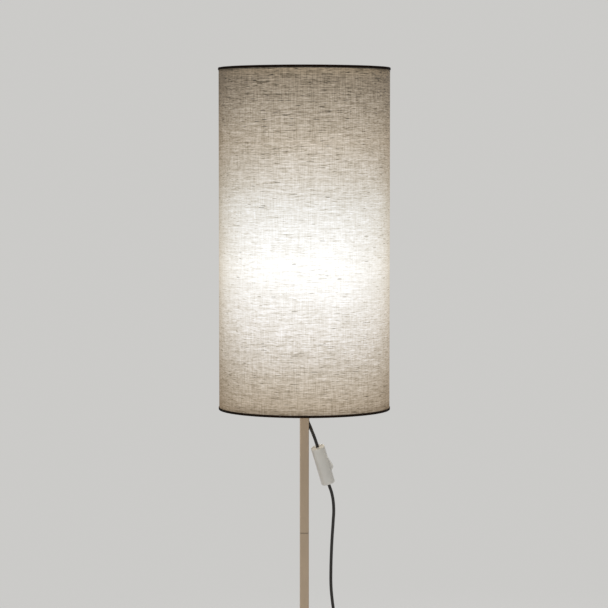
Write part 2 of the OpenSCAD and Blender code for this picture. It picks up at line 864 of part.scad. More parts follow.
// Tube of the switch, with a slot whose ends follow the rocker's swing
module switch_barrel() {
  r = switch_d / 2;
  color(WHITE) difference() {
    at_switch() rotate_extrude() polygon(concat(
      [[switch_in, 0]], arc([r - switch_edge, switch_edge], switch_edge, -90, 0, 5),
      arc([r - switch_edge, switch_len - switch_edge], switch_edge, 0, 90, 5),
      [[switch_in, switch_len]]
    ));
    at_pivot() intersection() {
      cylinder(rocker_w + 2 * rocker_gap, r = rocker_r + rocker_gap, center = true);
      translate([-rocker_pivot, -switch_len / 2, -switch_d / 2]) cube([switch_d, switch_len, switch_d]);
    }
  }
}

module switch_end() {
  difference() {
    cylinder(switch_end_t, r = switch_in);
    translate([0, 0, -past]) cylinder(switch_end_t + 2 * past, d = cord_d);
  }
}

module switch_end_upper() {
  color(WHITE) at_switch() translate([0, 0, switch_len - switch_end_t]) switch_end();
}

module switch_end_lower() {
  color(WHITE) at_switch() switch_end();
}

// Moulded inner carrier: a half-round tray with two ears for the rocker and two cord saddles
module switch_carrier() {
  r = switch_in - running;
  tray_len = switch_len - 2 * switch_end_t;
  mid = tray_len / 2;
  ear_r = trunnion_d / 2 + 2;
  color([0.80, 0.80, 0.78]) at_switch() translate([0, 0, switch_end_t]) difference() {
    intersection() {
      cylinder(tray_len, r = r);
      union() {
        translate([-r, -r, 0]) cube([r + floor_x, 2 * r, tray_len]);
        for (end = [0, 1]) translate([0, 0, end * tray_len]) mirror([0, 0, end])
          translate([-r, -r, clamp_z - switch_end_t - clamp_w / 2])
            cube([r - cord_d / 2 + cord_bite, 2 * r, clamp_w]);
        for (side = [-1, 1]) translate([0, side * (ear_y + ear_t / 2), mid]) {
          translate([-r, -ear_t / 2, -ear_r]) cube([r + rocker_pivot, ear_t, 2 * ear_r]);
          translate([rocker_pivot, 0, 0]) rotate([90, 0, 0]) cylinder(ear_t, r = ear_r, center = true);
        }
      }
    }
    translate([rocker_pivot, 0, mid]) rotate([90, 0, 0])
      cylinder(switch_d, d = trunnion_d + 2 * running, center = true);
    for (end = [-1, 1], side = [-1, 1])
      translate([floor_x - 4, side * clamp_y, mid + end * (switch_len / 2 - clamp_z)]) rotate([0, 90, 0])
        cylinder(switch_d, d = rivet_d);
  }
}

module switch_rocker() {
  far = 2 * rocker_r;
  color(WHITE) at_pivot(-rocker_tilt) difference() {
    union() {
      linear_extrude(rocker_w, center = true) intersection() {
        circle(rocker_r);
        polygon([
          [0, 0], far * [cos(rocker_wedge), -sin(rocker_wedge)], [rocker_h, -far],
          [rocker_h, far], far * [cos(rocker_wedge), sin(rocker_wedge)]
        ]);
      }
      cylinder(rocker_w, r = hub_r, center = true);
      cylinder(rocker_w + 2 * (rocker_gap + ear_t) - loose, d = trunnion_d, center = true);
    }
    translate([-hub_r - past, 0, 0]) rotate([0, 90, 0])
      cylinder(hub_r + past + pocket_end, d = plunger_d + 2 * running);
  }
}

// Sprung pin in the rocker that snaps the contact lever over; its nose rests on the lever
module rocker_plunger() {
  turned = rocker_tilt + lever_tilt;
  tip = ((rocker_pivot - fulcrum_x) * cos(lever_tilt) - lever_t - nose_r * sin(turned) - contact_gap)
    / cos(turned);
  color(BRASS) at_pivot(-rocker_tilt) rotate([0, -90, 0]) {
    translate([0, 0, -plunger_rear]) cylinder(plunger_rear + tip - nose_len, d = plunger_d);
    translate([0, 0, tip - nose_len]) cylinder(nose_len, r1 = plunger_d / 2, r2 = nose_r);
  }
}

// The spring behind the pin, in the rocker's pocket
module rocker_spring() {
  r = (plunger_d - spring_wire) / 2;
  length = pocket_end - plunger_rear - spring_wire;
  steps = 12 * spring_turns;
  color(STEEL) at_pivot(-rocker_tilt) tube([
    for (i = [0:steps]) [
      plunger_rear + spring_wire / 2 + length * i / steps, r * cos(30 * i), r * sin(30 * i)
    ]
  ], spring_wire, 6, [1, 0, 0]);
}

// Places what is drawn about the lever's fulcrum, as at_pivot() does
module at_fulcrum(turn = 0) {
  at_switch() translate([fulcrum_x, 0, switch_len / 2]) rotate([0, turn, 0]) rotate([90, 0, 0]) children();
}

module contact_lever() {
  saddle = fulcrum_r + running;
  color(BRASS) at_fulcrum(lever_tilt) {
    difference() {
      union() {
        translate([0, -lever_half, -lever_w / 2]) cube([lever_t, 2 * lever_half, lever_w]);
        cylinder(lever_w, r = saddle + lever_t, center = true);
      }
      cylinder(lever_w + past, r = saddle, center = true);
      translate([-switch_d, -lever_half, -lever_w]) cube([switch_d, 2 * lever_half, 2 * lever_w]);
    }
    translate([-rivet_h, -lever_half + rivet_d / 2, 0]) rotate([0, 90, 0]) cylinder(rivet_h, d = rivet_d);
  }
}

// Where the strips lie on the tray, and the core's bore in a terminal above them
tray_x = floor_x - fulcrum_x;
bore_x = tray_x + strip_t + 2;

// Brass strip from the upper terminal to the fulcrum bar
module fulcrum_strip() {
  wide = lever_w + 2;
  color(BRASS) at_fulcrum() {
    cylinder(wide, r = fulcrum_r, center = true);
    translate([tray_x, -fulcrum_r, -wide / 2]) cube([-tray_x, 2 * fulcrum_r, wide]);
    translate([tray_x, 0, -lever_w / 2]) cube([strip_t, terminal_z + terminal_side / 2, lever_w]);
  }
}

// Brass strip from the lower terminal to the fixed contact
module fixed_contact() {
  low = -terminal_z - terminal_side / 2;
  high = -(lever_half - rivet_d) * cos(lever_tilt);
  color(BRASS) at_fulcrum() translate([tray_x, low, -lever_w / 2]) cube([strip_t, high - low, lever_w]);
}

// Two brass blocks that grip the switched core
module switch_terminals() {
  half = terminal_side / 2;
  color(BRASS) at_fulcrum() for (end = [-1, 1]) translate([0, end * terminal_z, 0]) difference() {
    translate([tray_x + strip_t, -half, -half]) cube([terminal_h, terminal_side, terminal_side]);
    translate([bore_x, 0, 0]) rotate([90, 0, 0]) cylinder(terminal_side + past, d = core_d, center = true);
    translate([bore_x, 0, 0]) rotate([0, 90, 0]) cylinder(terminal_h, d = rivet_d);
  }
}

module terminal_screw() {
  length = 3;
  slot = 0.6;
  difference() {
    translate([0, 0, core_d / 2]) cylinder(length, d = rivet_d);
    translate([-slot / 2, -rivet_d, core_d / 2 + length - slot]) cube([slot, 2 * rivet_d, past + slot]);
  }
}

// The like screws of the switch's terminals and the lampholder's
module terminal_screws() {
  color(STEEL) {
    at_fulcrum() for (end = [-1, 1]) translate([bore_x, end * terminal_z, 0]) rotate([0, 90, 0])
      terminal_screw();
    at_holder_terminals() translate([0, 0, -3.5]) rotate([90, 0, 0]) terminal_screw();
  }
}

// Places what is drawn on the switch's two cord grips, with the cord's upper side at x = 0
module at_grips() {
  at_switch() for (z = [clamp_z, switch_len - clamp_z])
    translate([cord_d / 2 - cord_bite, 0, z]) children();
}

// Bars that press the cord on its saddles
module cord_clamps() {
  bar_y = clamp_y + 1.8;
  color(BLACK) at_grips() difference() {
    translate([0, -bar_y, -clamp_w / 2]) cube([clamp_t, 2 * bar_y, clamp_w]);
    for (side = [-1, 1]) translate([-past, side * clamp_y, 0]) rotate([0, 90, 0])
      cylinder(clamp_t + 2 * past, d = rivet_d);
  }
}

module clamp_screws() {
  length = cord_d + 3;
  color(STEEL) at_grips() for (side = [-1, 1]) translate([clamp_t, side * clamp_y, 0]) rotate([0, 90, 0]) {
    translate([0, 0, -length]) cylinder(length, d = rivet_d);
    cylinder(1, d = rivet_d + 1);
  }
}

// The core that runs through the switch uncut, round the terminals
module neutral_core() {
  side_y = -8.2;
  half = [
    [0, -core_y, grip - core_bite], [0, -core_y, grip + 0.6], [0.4, -3, grip + 2.2],
    [0.8, -6, grip + 4], [1, side_y, grip + 7]
  ];
  color([0.2, 0.35, 0.7]) at_switch() tube(
    concat([for (p = half) [p.x, p.y, switch_len - p.z]], reversed(half)),
    core_d - core_play, 8, [1, 0, 0]);
}

// The two ends of the switched core, from the cord's sheath into the terminals
module live_cores() {
  x = fulcrum_x + bore_x;
  inside = switch_len / 2 - terminal_z;
  color([0.45, 0.28, 0.16]) at_switch() for (end = [0, 1])
    translate([0, 0, end * switch_len]) mirror([0, 0, end]) tube([
      [0, core_y, grip - core_bite], [0, core_y, grip + 0.5], [x / 2, core_y / 2, grip + 1.8],
      [x, 0, inside - terminal_side / 2 - 0.3], [x, 0, inside + 1]
    ], core_d - core_play, 8, [1, 0, 0]);
}

// ---------------------------------------------------------------- cord and plug

module inner_cord() {
  color(CORD) tube(smooth(INNER_ROUTE, 1), cord_d, cord_sides);
}

module upper_cord() {
  color(CORD) tube(smooth(UPPER_ROUTE, 1), cord_d, cord_sides);
}

// Distance from the coil's axis after so many turns: in on the lower layer, out on the upper one
function coil_radius(turn) =
  let (off = abs(turn - coil_turns), inner = coil_r - coil_pitch * coil_turns)
  inner + coil_pitch * (off > climb ? off : off * off / (2 * climb) + climb / 2);

// Height of the cord's middle: it climbs a layer in the half turn where the spiral reverses
function coil_height(turn) =
  let (t = min(max((turn - coil_turns + climb) / (2 * climb), 0), 1))
  cord_d / 2 + coil_layer * t * t * (3 - 2 * t);

function coil_point(turn) =
  let (r = coil_radius(turn), a = 360 * turn)
  [coil_at.x + r * cos(a), coil_at.y + r * sin(a), coil_height(turn)];

// The coil's middle line, straight for one diameter at each end
coil_line = let (
    whole = 2 * coil_turns, count = round(whole * coil_steps), a = 360 * whole,
    body = [for (i = [0:count]) coil_point(whole * i / count)]
  )
  concat(
    [body[0] - [0, cord_d, 0]], body, [body[count] + cord_d * [-sin(a), cos(a), 0]]
  );
coil_end = coil_line[len(coil_line) - 1];
coil_way = unit(coil_end - coil_line[len(coil_line) - 2]);

// Least gap between two turns that lie beside or over each other
coil_gap = min([
  for (i = [0:len(coil_line) - 1], j = [i + coil_steps / 2:1:len(coil_line) - 1])
    norm(coil_line[i] - coil_line[j])
]) - cord_d;
echo("least gap between the coil's turns, mm", coil_gap);

module cord_coil() {
  color(CORD) tube(coil_line, cord_d, coil_sides, [0, 0, 1]);
}

// The free stretches meet the coil and the plug on straight ends of one diameter
lower_line = concat(smooth(concat(LOWER_ROUTE, [coil_line[0] - [0, cord_d, 0]]), 2), [coil_line[0]]);
plug_start = [plug_at.x, plug_at.y, plug_t / 2];
lead_line = concat(
  [coil_end], smooth(concat([coil_end + cord_d * coil_way], LEAD_ROUTE, [plug_start + [cord_d, 0, 0]]), 2),
  [plug_start]);

module lower_cord() {
  color(CORD) tube(lower_line, cord_d, cord_sides);
}

module plug_lead() {
  color(CORD) tube(lead_line, cord_d, cord_sides);
}

echo("cord outside the column, mm",
  run(UPPER_ROUTE) + switch_len - 2 * grip + run(lower_line) + run(coil_line) + run(lead_line));

// Places what is drawn with x from the cord's end to the plug's pins
module at_plug() {
  translate(plug_start) rotate(180) children();
}

// Outline of the plug across its pins
module plug_section(w, t, cut) {
  polygon([
    [w / 2, -t / 2 + cut], [w / 2, t / 2 - cut], [w / 2 - cut, t / 2], [cut - w / 2, t / 2],
    [-w / 2, t / 2 - cut], [-w / 2, cut - t / 2], [cut - w / 2, -t / 2], [w / 2 - cut, -t / 2]
  ]);
}

module plug_body() {
  neck = 12;
  ribs = 6;
  groove = 1.2;
  color(BLACK) at_plug() {
    translate([relief_len, 0, 0]) rotate([90, 0, 90]) {
      translate([0, 0, plug_body_len * 0.55])
        linear_extrude(plug_body_len * 0.45) plug_section(plug_w, plug_t, 4.2);
      hull() {
        linear_extrude(0.1) plug_section(neck + 4, neck, 3);
        translate([0, 0, plug_body_len * 0.55 - 0.1]) linear_extrude(0.1) plug_section(plug_w, plug_t, 4.2);
      }
    }
    rotate([0, 90, 0]) difference() {
      cylinder(relief_len, d1 = cord_d + 2.5, d2 = neck - 1);
      for (i = [1:ribs]) translate([0, 0, i * relief_len / (ribs + 1) - groove / 2]) difference() {
        cylinder(groove, d = neck);
        translate([0, 0, -past]) cylinder(groove + 2 * past, d = cord_d + 1.6);
      }
    }
  }
}

module at_pins() {
  for (side = [-1, 1]) at_plug() translate([relief_len + plug_body_len, side * pin_pitch / 2, 0])
    rotate([0, 90, 0]) children();
}

module plug_pins() {
  tip = 1;
  color(STEEL) at_pins() {
    cylinder(sleeve_len, d = pin_d - 1);
    translate([0, 0, sleeve_len]) cylinder(pin_len - sleeve_len - tip, d = pin_d);
    translate([0, 0, pin_len - tip]) cylinder(tip, d1 = pin_d, d2 = pin_d - tip);
  }
}

module plug_sleeves() {
  color(BLACK) at_pins() difference() {
    cylinder(sleeve_len, d = pin_d - 2 * sleeve_step);
    translate([0, 0, -past]) cylinder(sleeve_len + 2 * past, d = pin_d - 1);
  }
}

// ---------------------------------------------------------------- the lamp

base_plate();
base_pads();
base_bolt();
base_washer();
foot_plug();
lower_pole();
lower_joiner();
middle_pole();
upper_joiner();
upper_pole();
joiner_screws();
pole_cap();
pole_nipple();
cord_grommet();
inner_cord();
holder_cap();
holder_body();
holder_core();
holder_thread();
holder_tongue();
holder_terminals();
holder_cores();
shade_nut_lower();
shade_nut_upper();
bulb_cap();
bulb_tip();
bulb_glass();
bulb_stem();
bulb_filaments();
shade_hub();
shade_arms();
shade_lower_ring();
shade_upper_ring();
shade_liner();
shade_linen();
lower_tape();
upper_tape();
switch_barrel();
switch_end_upper();
switch_end_lower();
switch_carrier();
switch_rocker();
rocker_plunger();
rocker_spring();
contact_lever();
fulcrum_strip();
fixed_contact();
switch_terminals();
terminal_screws();
cord_clamps();
clamp_screws();
neutral_core();
live_cores();
upper_cord();
lower_cord();
cord_coil();
plug_lead();
plug_body();
plug_pins();
plug_sleeves();
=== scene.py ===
"""Looks of the column floor lamp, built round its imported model.

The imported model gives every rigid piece. This script makes the cloth, the lining, the rim tapes and
the cords, gives each piece its finish, and sets up a plain studio. Lengths are in metres, +Z is up,
and the origin lies on the floor under the middle of the base.
"""

from __future__ import annotations

import json
import logging
import math
from dataclasses import dataclass, field
from enum import Enum
from typing import Iterable, Sequence, Union

import bmesh
import bpy
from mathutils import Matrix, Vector


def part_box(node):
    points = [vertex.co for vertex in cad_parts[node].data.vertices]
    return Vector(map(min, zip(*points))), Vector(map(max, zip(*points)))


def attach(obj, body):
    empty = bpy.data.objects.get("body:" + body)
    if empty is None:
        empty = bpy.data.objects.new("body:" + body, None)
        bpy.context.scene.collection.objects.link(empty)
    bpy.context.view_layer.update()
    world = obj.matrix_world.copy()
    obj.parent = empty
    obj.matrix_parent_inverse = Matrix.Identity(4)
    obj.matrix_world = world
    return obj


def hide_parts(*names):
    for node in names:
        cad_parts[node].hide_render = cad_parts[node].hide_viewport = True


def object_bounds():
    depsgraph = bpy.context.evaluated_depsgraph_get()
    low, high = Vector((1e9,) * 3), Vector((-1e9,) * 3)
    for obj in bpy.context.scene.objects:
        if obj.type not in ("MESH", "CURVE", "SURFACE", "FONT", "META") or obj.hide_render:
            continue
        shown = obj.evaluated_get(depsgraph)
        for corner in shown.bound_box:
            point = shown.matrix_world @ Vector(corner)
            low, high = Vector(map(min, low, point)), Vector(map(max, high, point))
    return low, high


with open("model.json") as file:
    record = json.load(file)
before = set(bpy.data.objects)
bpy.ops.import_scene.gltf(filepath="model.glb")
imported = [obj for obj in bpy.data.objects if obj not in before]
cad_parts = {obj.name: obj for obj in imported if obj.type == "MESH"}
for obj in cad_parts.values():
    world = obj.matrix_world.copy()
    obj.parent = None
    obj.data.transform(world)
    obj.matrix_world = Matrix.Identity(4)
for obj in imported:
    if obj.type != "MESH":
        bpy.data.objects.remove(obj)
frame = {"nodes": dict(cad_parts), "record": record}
CAD_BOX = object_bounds()

LOG = logging.getLogger("floor_lamp")
LAMP = "lamp"  # the body that all standing pieces belong to

Colour = tuple[float, float, float]  # linear red, green and blue
Point = tuple[float, float, float]
Span = tuple[float, float]
Socket = bpy.types.NodeSocket
Value = Union[Socket, float, Sequence[float]]

WHOLE: Span = (0.0, 1.0)
MOST: Span = (0.3, 0.7)  # where most values of a noise lie
NEARLY_ALL: Span = (0.25, 0.75)  # where nearly all of them lie
DRUM: Span = (0.95, 1.55)  # heights of the shade's two rims


class Slot(Enum):
    """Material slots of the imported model's record."""

    SATIN_BRONZE = "satin_bronze"
    ZINC_STEEL = "zinc_steel"
    DARK_STEEL = "dark_steel"
    WHITE_STEEL = "white_steel"
    BRASS = "brass"
    NICKEL = "nickel"
    PAD_RUBBER = "pad_rubber"
    CORD_SHEATH = "cord_sheath"
    BLUE_CORE = "blue_core"
    BROWN_CORE = "brown_core"
    BLACK_PLASTIC = "black_plastic"
    IVORY_PLASTIC = "ivory_plastic"
    WHITE_PLASTIC = "white_plastic"
    OPAL_GLASS = "opal_glass"
    CLEAR_GLASS = "clear_glass"
    FILAMENT = "filament"
    LINER_FILM = "liner_film"
    LINEN = "linen"
    RIM_TAPE = "rim_tape"


# ------------------------------------------------------------------------------------ node trees


class NodeTree:
    """Nodes of one material, made by short calls that give back the socket they end in."""

    def __init__(self, name: str) -> None:
        """Makes an empty material.

        Args:
            name: name of the material.
        """
        self.material = bpy.data.materials.new(name)
        self.material.use_nodes = True
        self.nodes = self.material.node_tree.nodes
        self.links = self.material.node_tree.links
        self.nodes.clear()

    def node(self, kind: str, **settings: object) -> bpy.types.Node:
        """Adds one node.

        Args:
            kind: the node's type name.
            settings: values of the node's own properties.

        Returns:
            The new node.
        """
        made = self.nodes.new(kind)
        for name, value in settings.items():
            setattr(made, name, value)
        return made

    def feed(self, socket: Socket, value: Value) -> None:
        """Links a socket to another one, or sets it to a constant.

        Args:
            socket: the input to feed.
            value: an output socket, or the constant.
        """
        if isinstance(value, Socket):
            self.links.new(value, socket)
        else:
            socket.default_value = value

    def place(self, scale: Point, uv: bool = False) -> Socket:
        """Gives stretched coordinates of the surface.

        Args:
            scale: how many pattern units a metre holds, along x, y and z.
            uv: takes the piece's own UV map, which is in metres, in place of Object coordinates.

        Returns:
            The vector to feed a texture.
        """
        where = self.node("ShaderNodeTexCoord").outputs["UV" if uv else "Object"]
        mapping = self.node("ShaderNodeMapping")
        self.feed(mapping.inputs["Vector"], where)
        self.feed(mapping.inputs["Scale"], scale)
        return mapping.outputs["Vector"]

    def parts(self, uv: bool = False) -> list[Socket]:
        """Gives the coordinates of the surface one by one.

        Args:
            uv: takes the piece's own UV map in place of Object coordinates.

        Returns:
            The x, y and z, in metres.
        """
        split = self.node("ShaderNodeSeparateXYZ")
        self.feed(split.inputs[0], self.node("ShaderNodeTexCoord").outputs["UV" if uv else "Object"])
        return list(split.outputs)

    def noise(self, where: Socket, detail: float = 2.0, rough: float = 0.5) -> Socket:
        """Adds soft noise with one blob per unit.

        Args:
            where: the coordinates.
            detail: number of finer layers.
            rough: strength of the finer layers.

        Returns:
            The noise, from 0 to 1 round 0.5.
        """
        made = self.node("ShaderNodeTexNoise")
        self.feed(made.inputs["Vector"], where)
        self.feed(made.inputs["Scale"], 1.0)
        self.feed(made.inputs["Detail"], detail)
        self.feed(made.inputs["Roughness"], rough)
        return made.outputs["Fac"]

    def remap(self, value: Value, source: Span, target: Span) -> Socket:
        """Maps one range of a value onto another, and holds it at the ends.

        Args:
            value: what to map.
            source: the range it has.
            target: the range it gets.

        Returns:
            The mapped value.
        """
        made = self.node("ShaderNodeMapRange", clamp=True)
        self.feed(made.inputs["Value"], value)
        for name, limit in zip(("From Min", "From Max", "To Min", "To Max"), (*source, *target)):
            self.feed(made.inputs[name], limit)
        return made.outputs["Result"]

    def vary(self, noise: Socket, share: float, span: Span = MOST, middle: float = 1.0) -> Socket:
        """Returns a number that follows a noise, up and down from its middle by a share of it."""
        return self.remap(noise, span, (middle * (1.0 - share), middle * (1.0 + share)))

    def math(self, operation: str, first: Value, second: Value = 0.0) -> Socket:
        """Adds a Math node.

        Args:
            operation: the sum to do, such as MULTIPLY.
            first: the first number.
            second: the second number.

        Returns:
            The result.
        """
        made = self.node("ShaderNodeMath", operation=operation)
        self.feed(made.inputs[0], first)
        self.feed(made.inputs[1], second)
        return made.outputs[0]

    def product(self, values: Iterable[Value]) -> Socket:
        """Multiplies values together.

        Args:
            values: what to multiply.

        Returns:
            The product.
        """
        first, *others = values
        for other in others:
            first = self.math("MULTIPLY", first, other)
        return first

    def weigh(self, parts: Iterable[tuple[float, Value]]) -> Socket:
        """Adds values up.

        Args:
            parts: pairs of a weight and a value.

        Returns:
            The weighted sum.
        """
        total: Value = 0.0
        for weight, value in parts:
            total = self.math("ADD", total, self.math("MULTIPLY", value, weight))
        return total

    def shade(self, colour: Value, factor: Value) -> Socket:
        """Makes a colour lighter or darker.

        Args:
            colour: the colour.
            factor: what its three parts are multiplied by.

        Returns:
            The scaled colour.
        """
        made = self.node("ShaderNodeVectorMath", operation="SCALE")
        self.feed(made.inputs[0], colour)
        self.feed(made.inputs["Scale"], factor)
        return made.outputs[0]

    def tint(self, first: Value, second: Value) -> Socket:
        """Multiplies two colours part by part.

        Args:
            first: the one colour.
            second: the other.

        Returns:
            The tinted colour.
        """
        made = self.node("ShaderNodeVectorMath", operation="MULTIPLY")
        self.feed(made.inputs[0], first)
        self.feed(made.inputs[1], second)
        return made.outputs[0]

    def mix(self, factor: Value, first: Colour, second: Colour) -> Socket:
        """Blends two colours.

        Args:
            factor: share of the second colour.
            first: the colour at 0.
            second: the colour at 1.

        Returns:
            The blend.
        """
        made = self.node("ShaderNodeMix", data_type="RGBA")
        of_kind = [socket for socket in made.inputs if socket.type == "RGBA"]
        self.feed(made.inputs[0], factor)
        for socket, colour in zip(of_kind, (first, second)):
            self.feed(socket, (*colour, 1.0))
        return next(socket for socket in made.outputs if socket.type == "RGBA")

    def blend(self, value: Value, stops: Sequence[tuple[float, Colour]]) -> Socket:
        """Runs a value through a row of colours.

        Args:
            value: a number from 0 to 1.
            stops: place and colour of each stop.

        Returns:
            The colour at that value.
        """
        made = self.node("ShaderNodeValToRGB")
        self.feed(made.inputs["Fac"], value)
        row = made.color_ramp.elements
        while len(row) < len(stops):
            row.new(1.0)
        for element, (position, colour) in zip(row, stops):
            element.position = position
            element.color = (*colour, 1.0)
        return made.outputs["Color"]

    def bump(self, height: Value, depth: float) -> Socket:
        """Turns a height into a normal.

        Args:
            height: the relief, from 0 to 1.
            depth: how deep 1 is, in metres.

        Returns:
            The bent normal.
        """
        made = self.node("ShaderNodeBump")
        self.feed(made.inputs["Height"], height)
        self.feed(made.inputs["Distance"], depth)
        return made.outputs["Normal"]

    def surface(self, **inputs: Value) -> None:
        """Ends the tree in one Principled surface.

        Args:
            inputs: values of its sockets, under their names with underscores for spaces.
        """
        made = self.node("ShaderNodeBsdfPrincipled")
        for name, value in inputs.items():
            socket = made.inputs[name.replace("_", " ")]
            if socket.type == "RGBA" and not isinstance(value, Socket):
                value = (*value, 1.0)
            self.feed(socket, value)
        output = self.node("ShaderNodeOutputMaterial")
        self.links.new(made.outputs[0], output.inputs["Surface"])


# -------------------------------------------------------------------------------------- finishes


@dataclass(frozen=True)
class Finish:
    """What every finish has: the name of its material, its colour and its roughness.

    In all finishes the scales of patterns are in pattern units to a metre.
    """

    name: str
    colour: Colour
    roughness: float

    def material(self) -> bpy.types.Material:
        """Makes the finish.

        Returns:
            A new material.
        """
        tree = NodeTree(self.name)
        self.dress(tree)
        return tree.material

    def dress(self, tree: NodeTree) -> None:
        """Fills the material's empty node tree, in a way of each finish's own."""
        raise NotImplementedError


@dataclass(frozen=True)
class Metal(Finish):
    """Bare, plated or lacquered metal with fine marks left by its making."""

    marks: Point = (900.0, 900.0, 900.0)
    clouds: Point = (14.0, 14.0, 9.0)
    tone: float = 0.06  # how far the marks change the colour
    mottle: float = 0.03  # how far the clouds change it
    wear: float = 0.2  # how far the marks change the roughness
    depth: float = 0.00001

    def dress(self, tree: NodeTree) -> None:
        """Fills the tree with grain, faint mottling and a roughness that follows the grain.

        Args:
            tree: the empty tree.
        """
        grain = tree.noise(tree.place(self.marks), detail=3.0, rough=0.6)
        cloud = tree.noise(tree.place(self.clouds), detail=3.0)
        light = tree.product((tree.vary(grain, self.tone, NEARLY_ALL), tree.vary(cloud, self.mottle)))
        tree.surface(
            Base_Color=tree.shade(self.colour, light),
            Metallic=1.0,
            Roughness=tree.vary(grain, self.wear, NEARLY_ALL, self.roughness),
            Normal=tree.bump(grain, self.depth),
        )


@dataclass(frozen=True)
class Moulding(Finish):
    """Moulded plastic, rubber or baked paint: a fine skin with a faint unevenness of colour."""

    skin: Point = (1100.0, 1100.0, 1100.0)
    flow: Point = (35.0, 35.0, 22.0)
    depth: float = 0.00002
    mottle: float = 0.03  # how far the flow marks change the colour
    wear: float = 0.12  # how far the skin changes the roughness
    coat: float = 0.0

    def dress(self, tree: NodeTree) -> None:
        """Fills the tree with the skin's relief and the faint flow marks of the colour.

        Args:
            tree: the empty tree.
        """
        skin = tree.noise(tree.place(self.skin), detail=2.0)
        flow = tree.noise(tree.place(self.flow), detail=4.0, rough=0.6)
        tree.surface(
            Base_Color=tree.shade(self.colour, tree.vary(flow, self.mottle)),
            Roughness=tree.vary(skin, self.wear, MOST, self.roughness),
            Coat_Weight=self.coat,
            Coat_Roughness=0.2,
            Normal=tree.bump(skin, self.depth),
        )


@dataclass(frozen=True)
class Glass(Finish):
    """Glass of the lit bulb, clear or opal, and its filaments, with their own light."""

    light: Colour = (1.0, 0.9, 0.74)
    strength: float = 0.0
    clear: float = 0.0
    clouds: Point = (40.0, 40.0, 40.0)
    colour_dip: float = 0.03  # how much darker the colour is in places
    light_dip: float = 0.06  # how much weaker the light is there

    def dress(self, tree: NodeTree) -> None:
        """Fills the tree with smooth glass whose light is a little uneven.

        Args:
            tree: the empty tree.
        """
        cloud = tree.noise(tree.place(self.clouds), detail=2.0)
        tree.surface(
            Base_Color=tree.shade(self.colour, tree.remap(cloud, MOST, (1.0 - self.colour_dip, 1.0))),
            Roughness=self.roughness,
            Transmission_Weight=self.clear,
            Emission_Color=tree.shade(self.light, tree.remap(cloud, MOST, (1.0 - self.light_dip, 1.0))),
            Emission_Strength=self.strength,
        )


@dataclass(frozen=True)
class Glow:
    """The bulb's light on the shade, painted on as light of its own: whitest beside the bulb, and fading
    towards the rims.

    The stops give its colour at some heights, as shares of the way from the lower rim to the upper one.
    """

    stops: tuple[tuple[float, Colour], ...]

    def share(self, tree: NodeTree) -> Socket:
        """Returns the share of the way up the shade at which a point lies."""
        *_, height = tree.parts()
        return tree.remap(height, DRUM, WHOLE)

    def colour(self, tree: NodeTree) -> Socket:
        """Returns the colour of the light at each height of the surface."""
        return tree.blend(self.share(tree), self.stops)


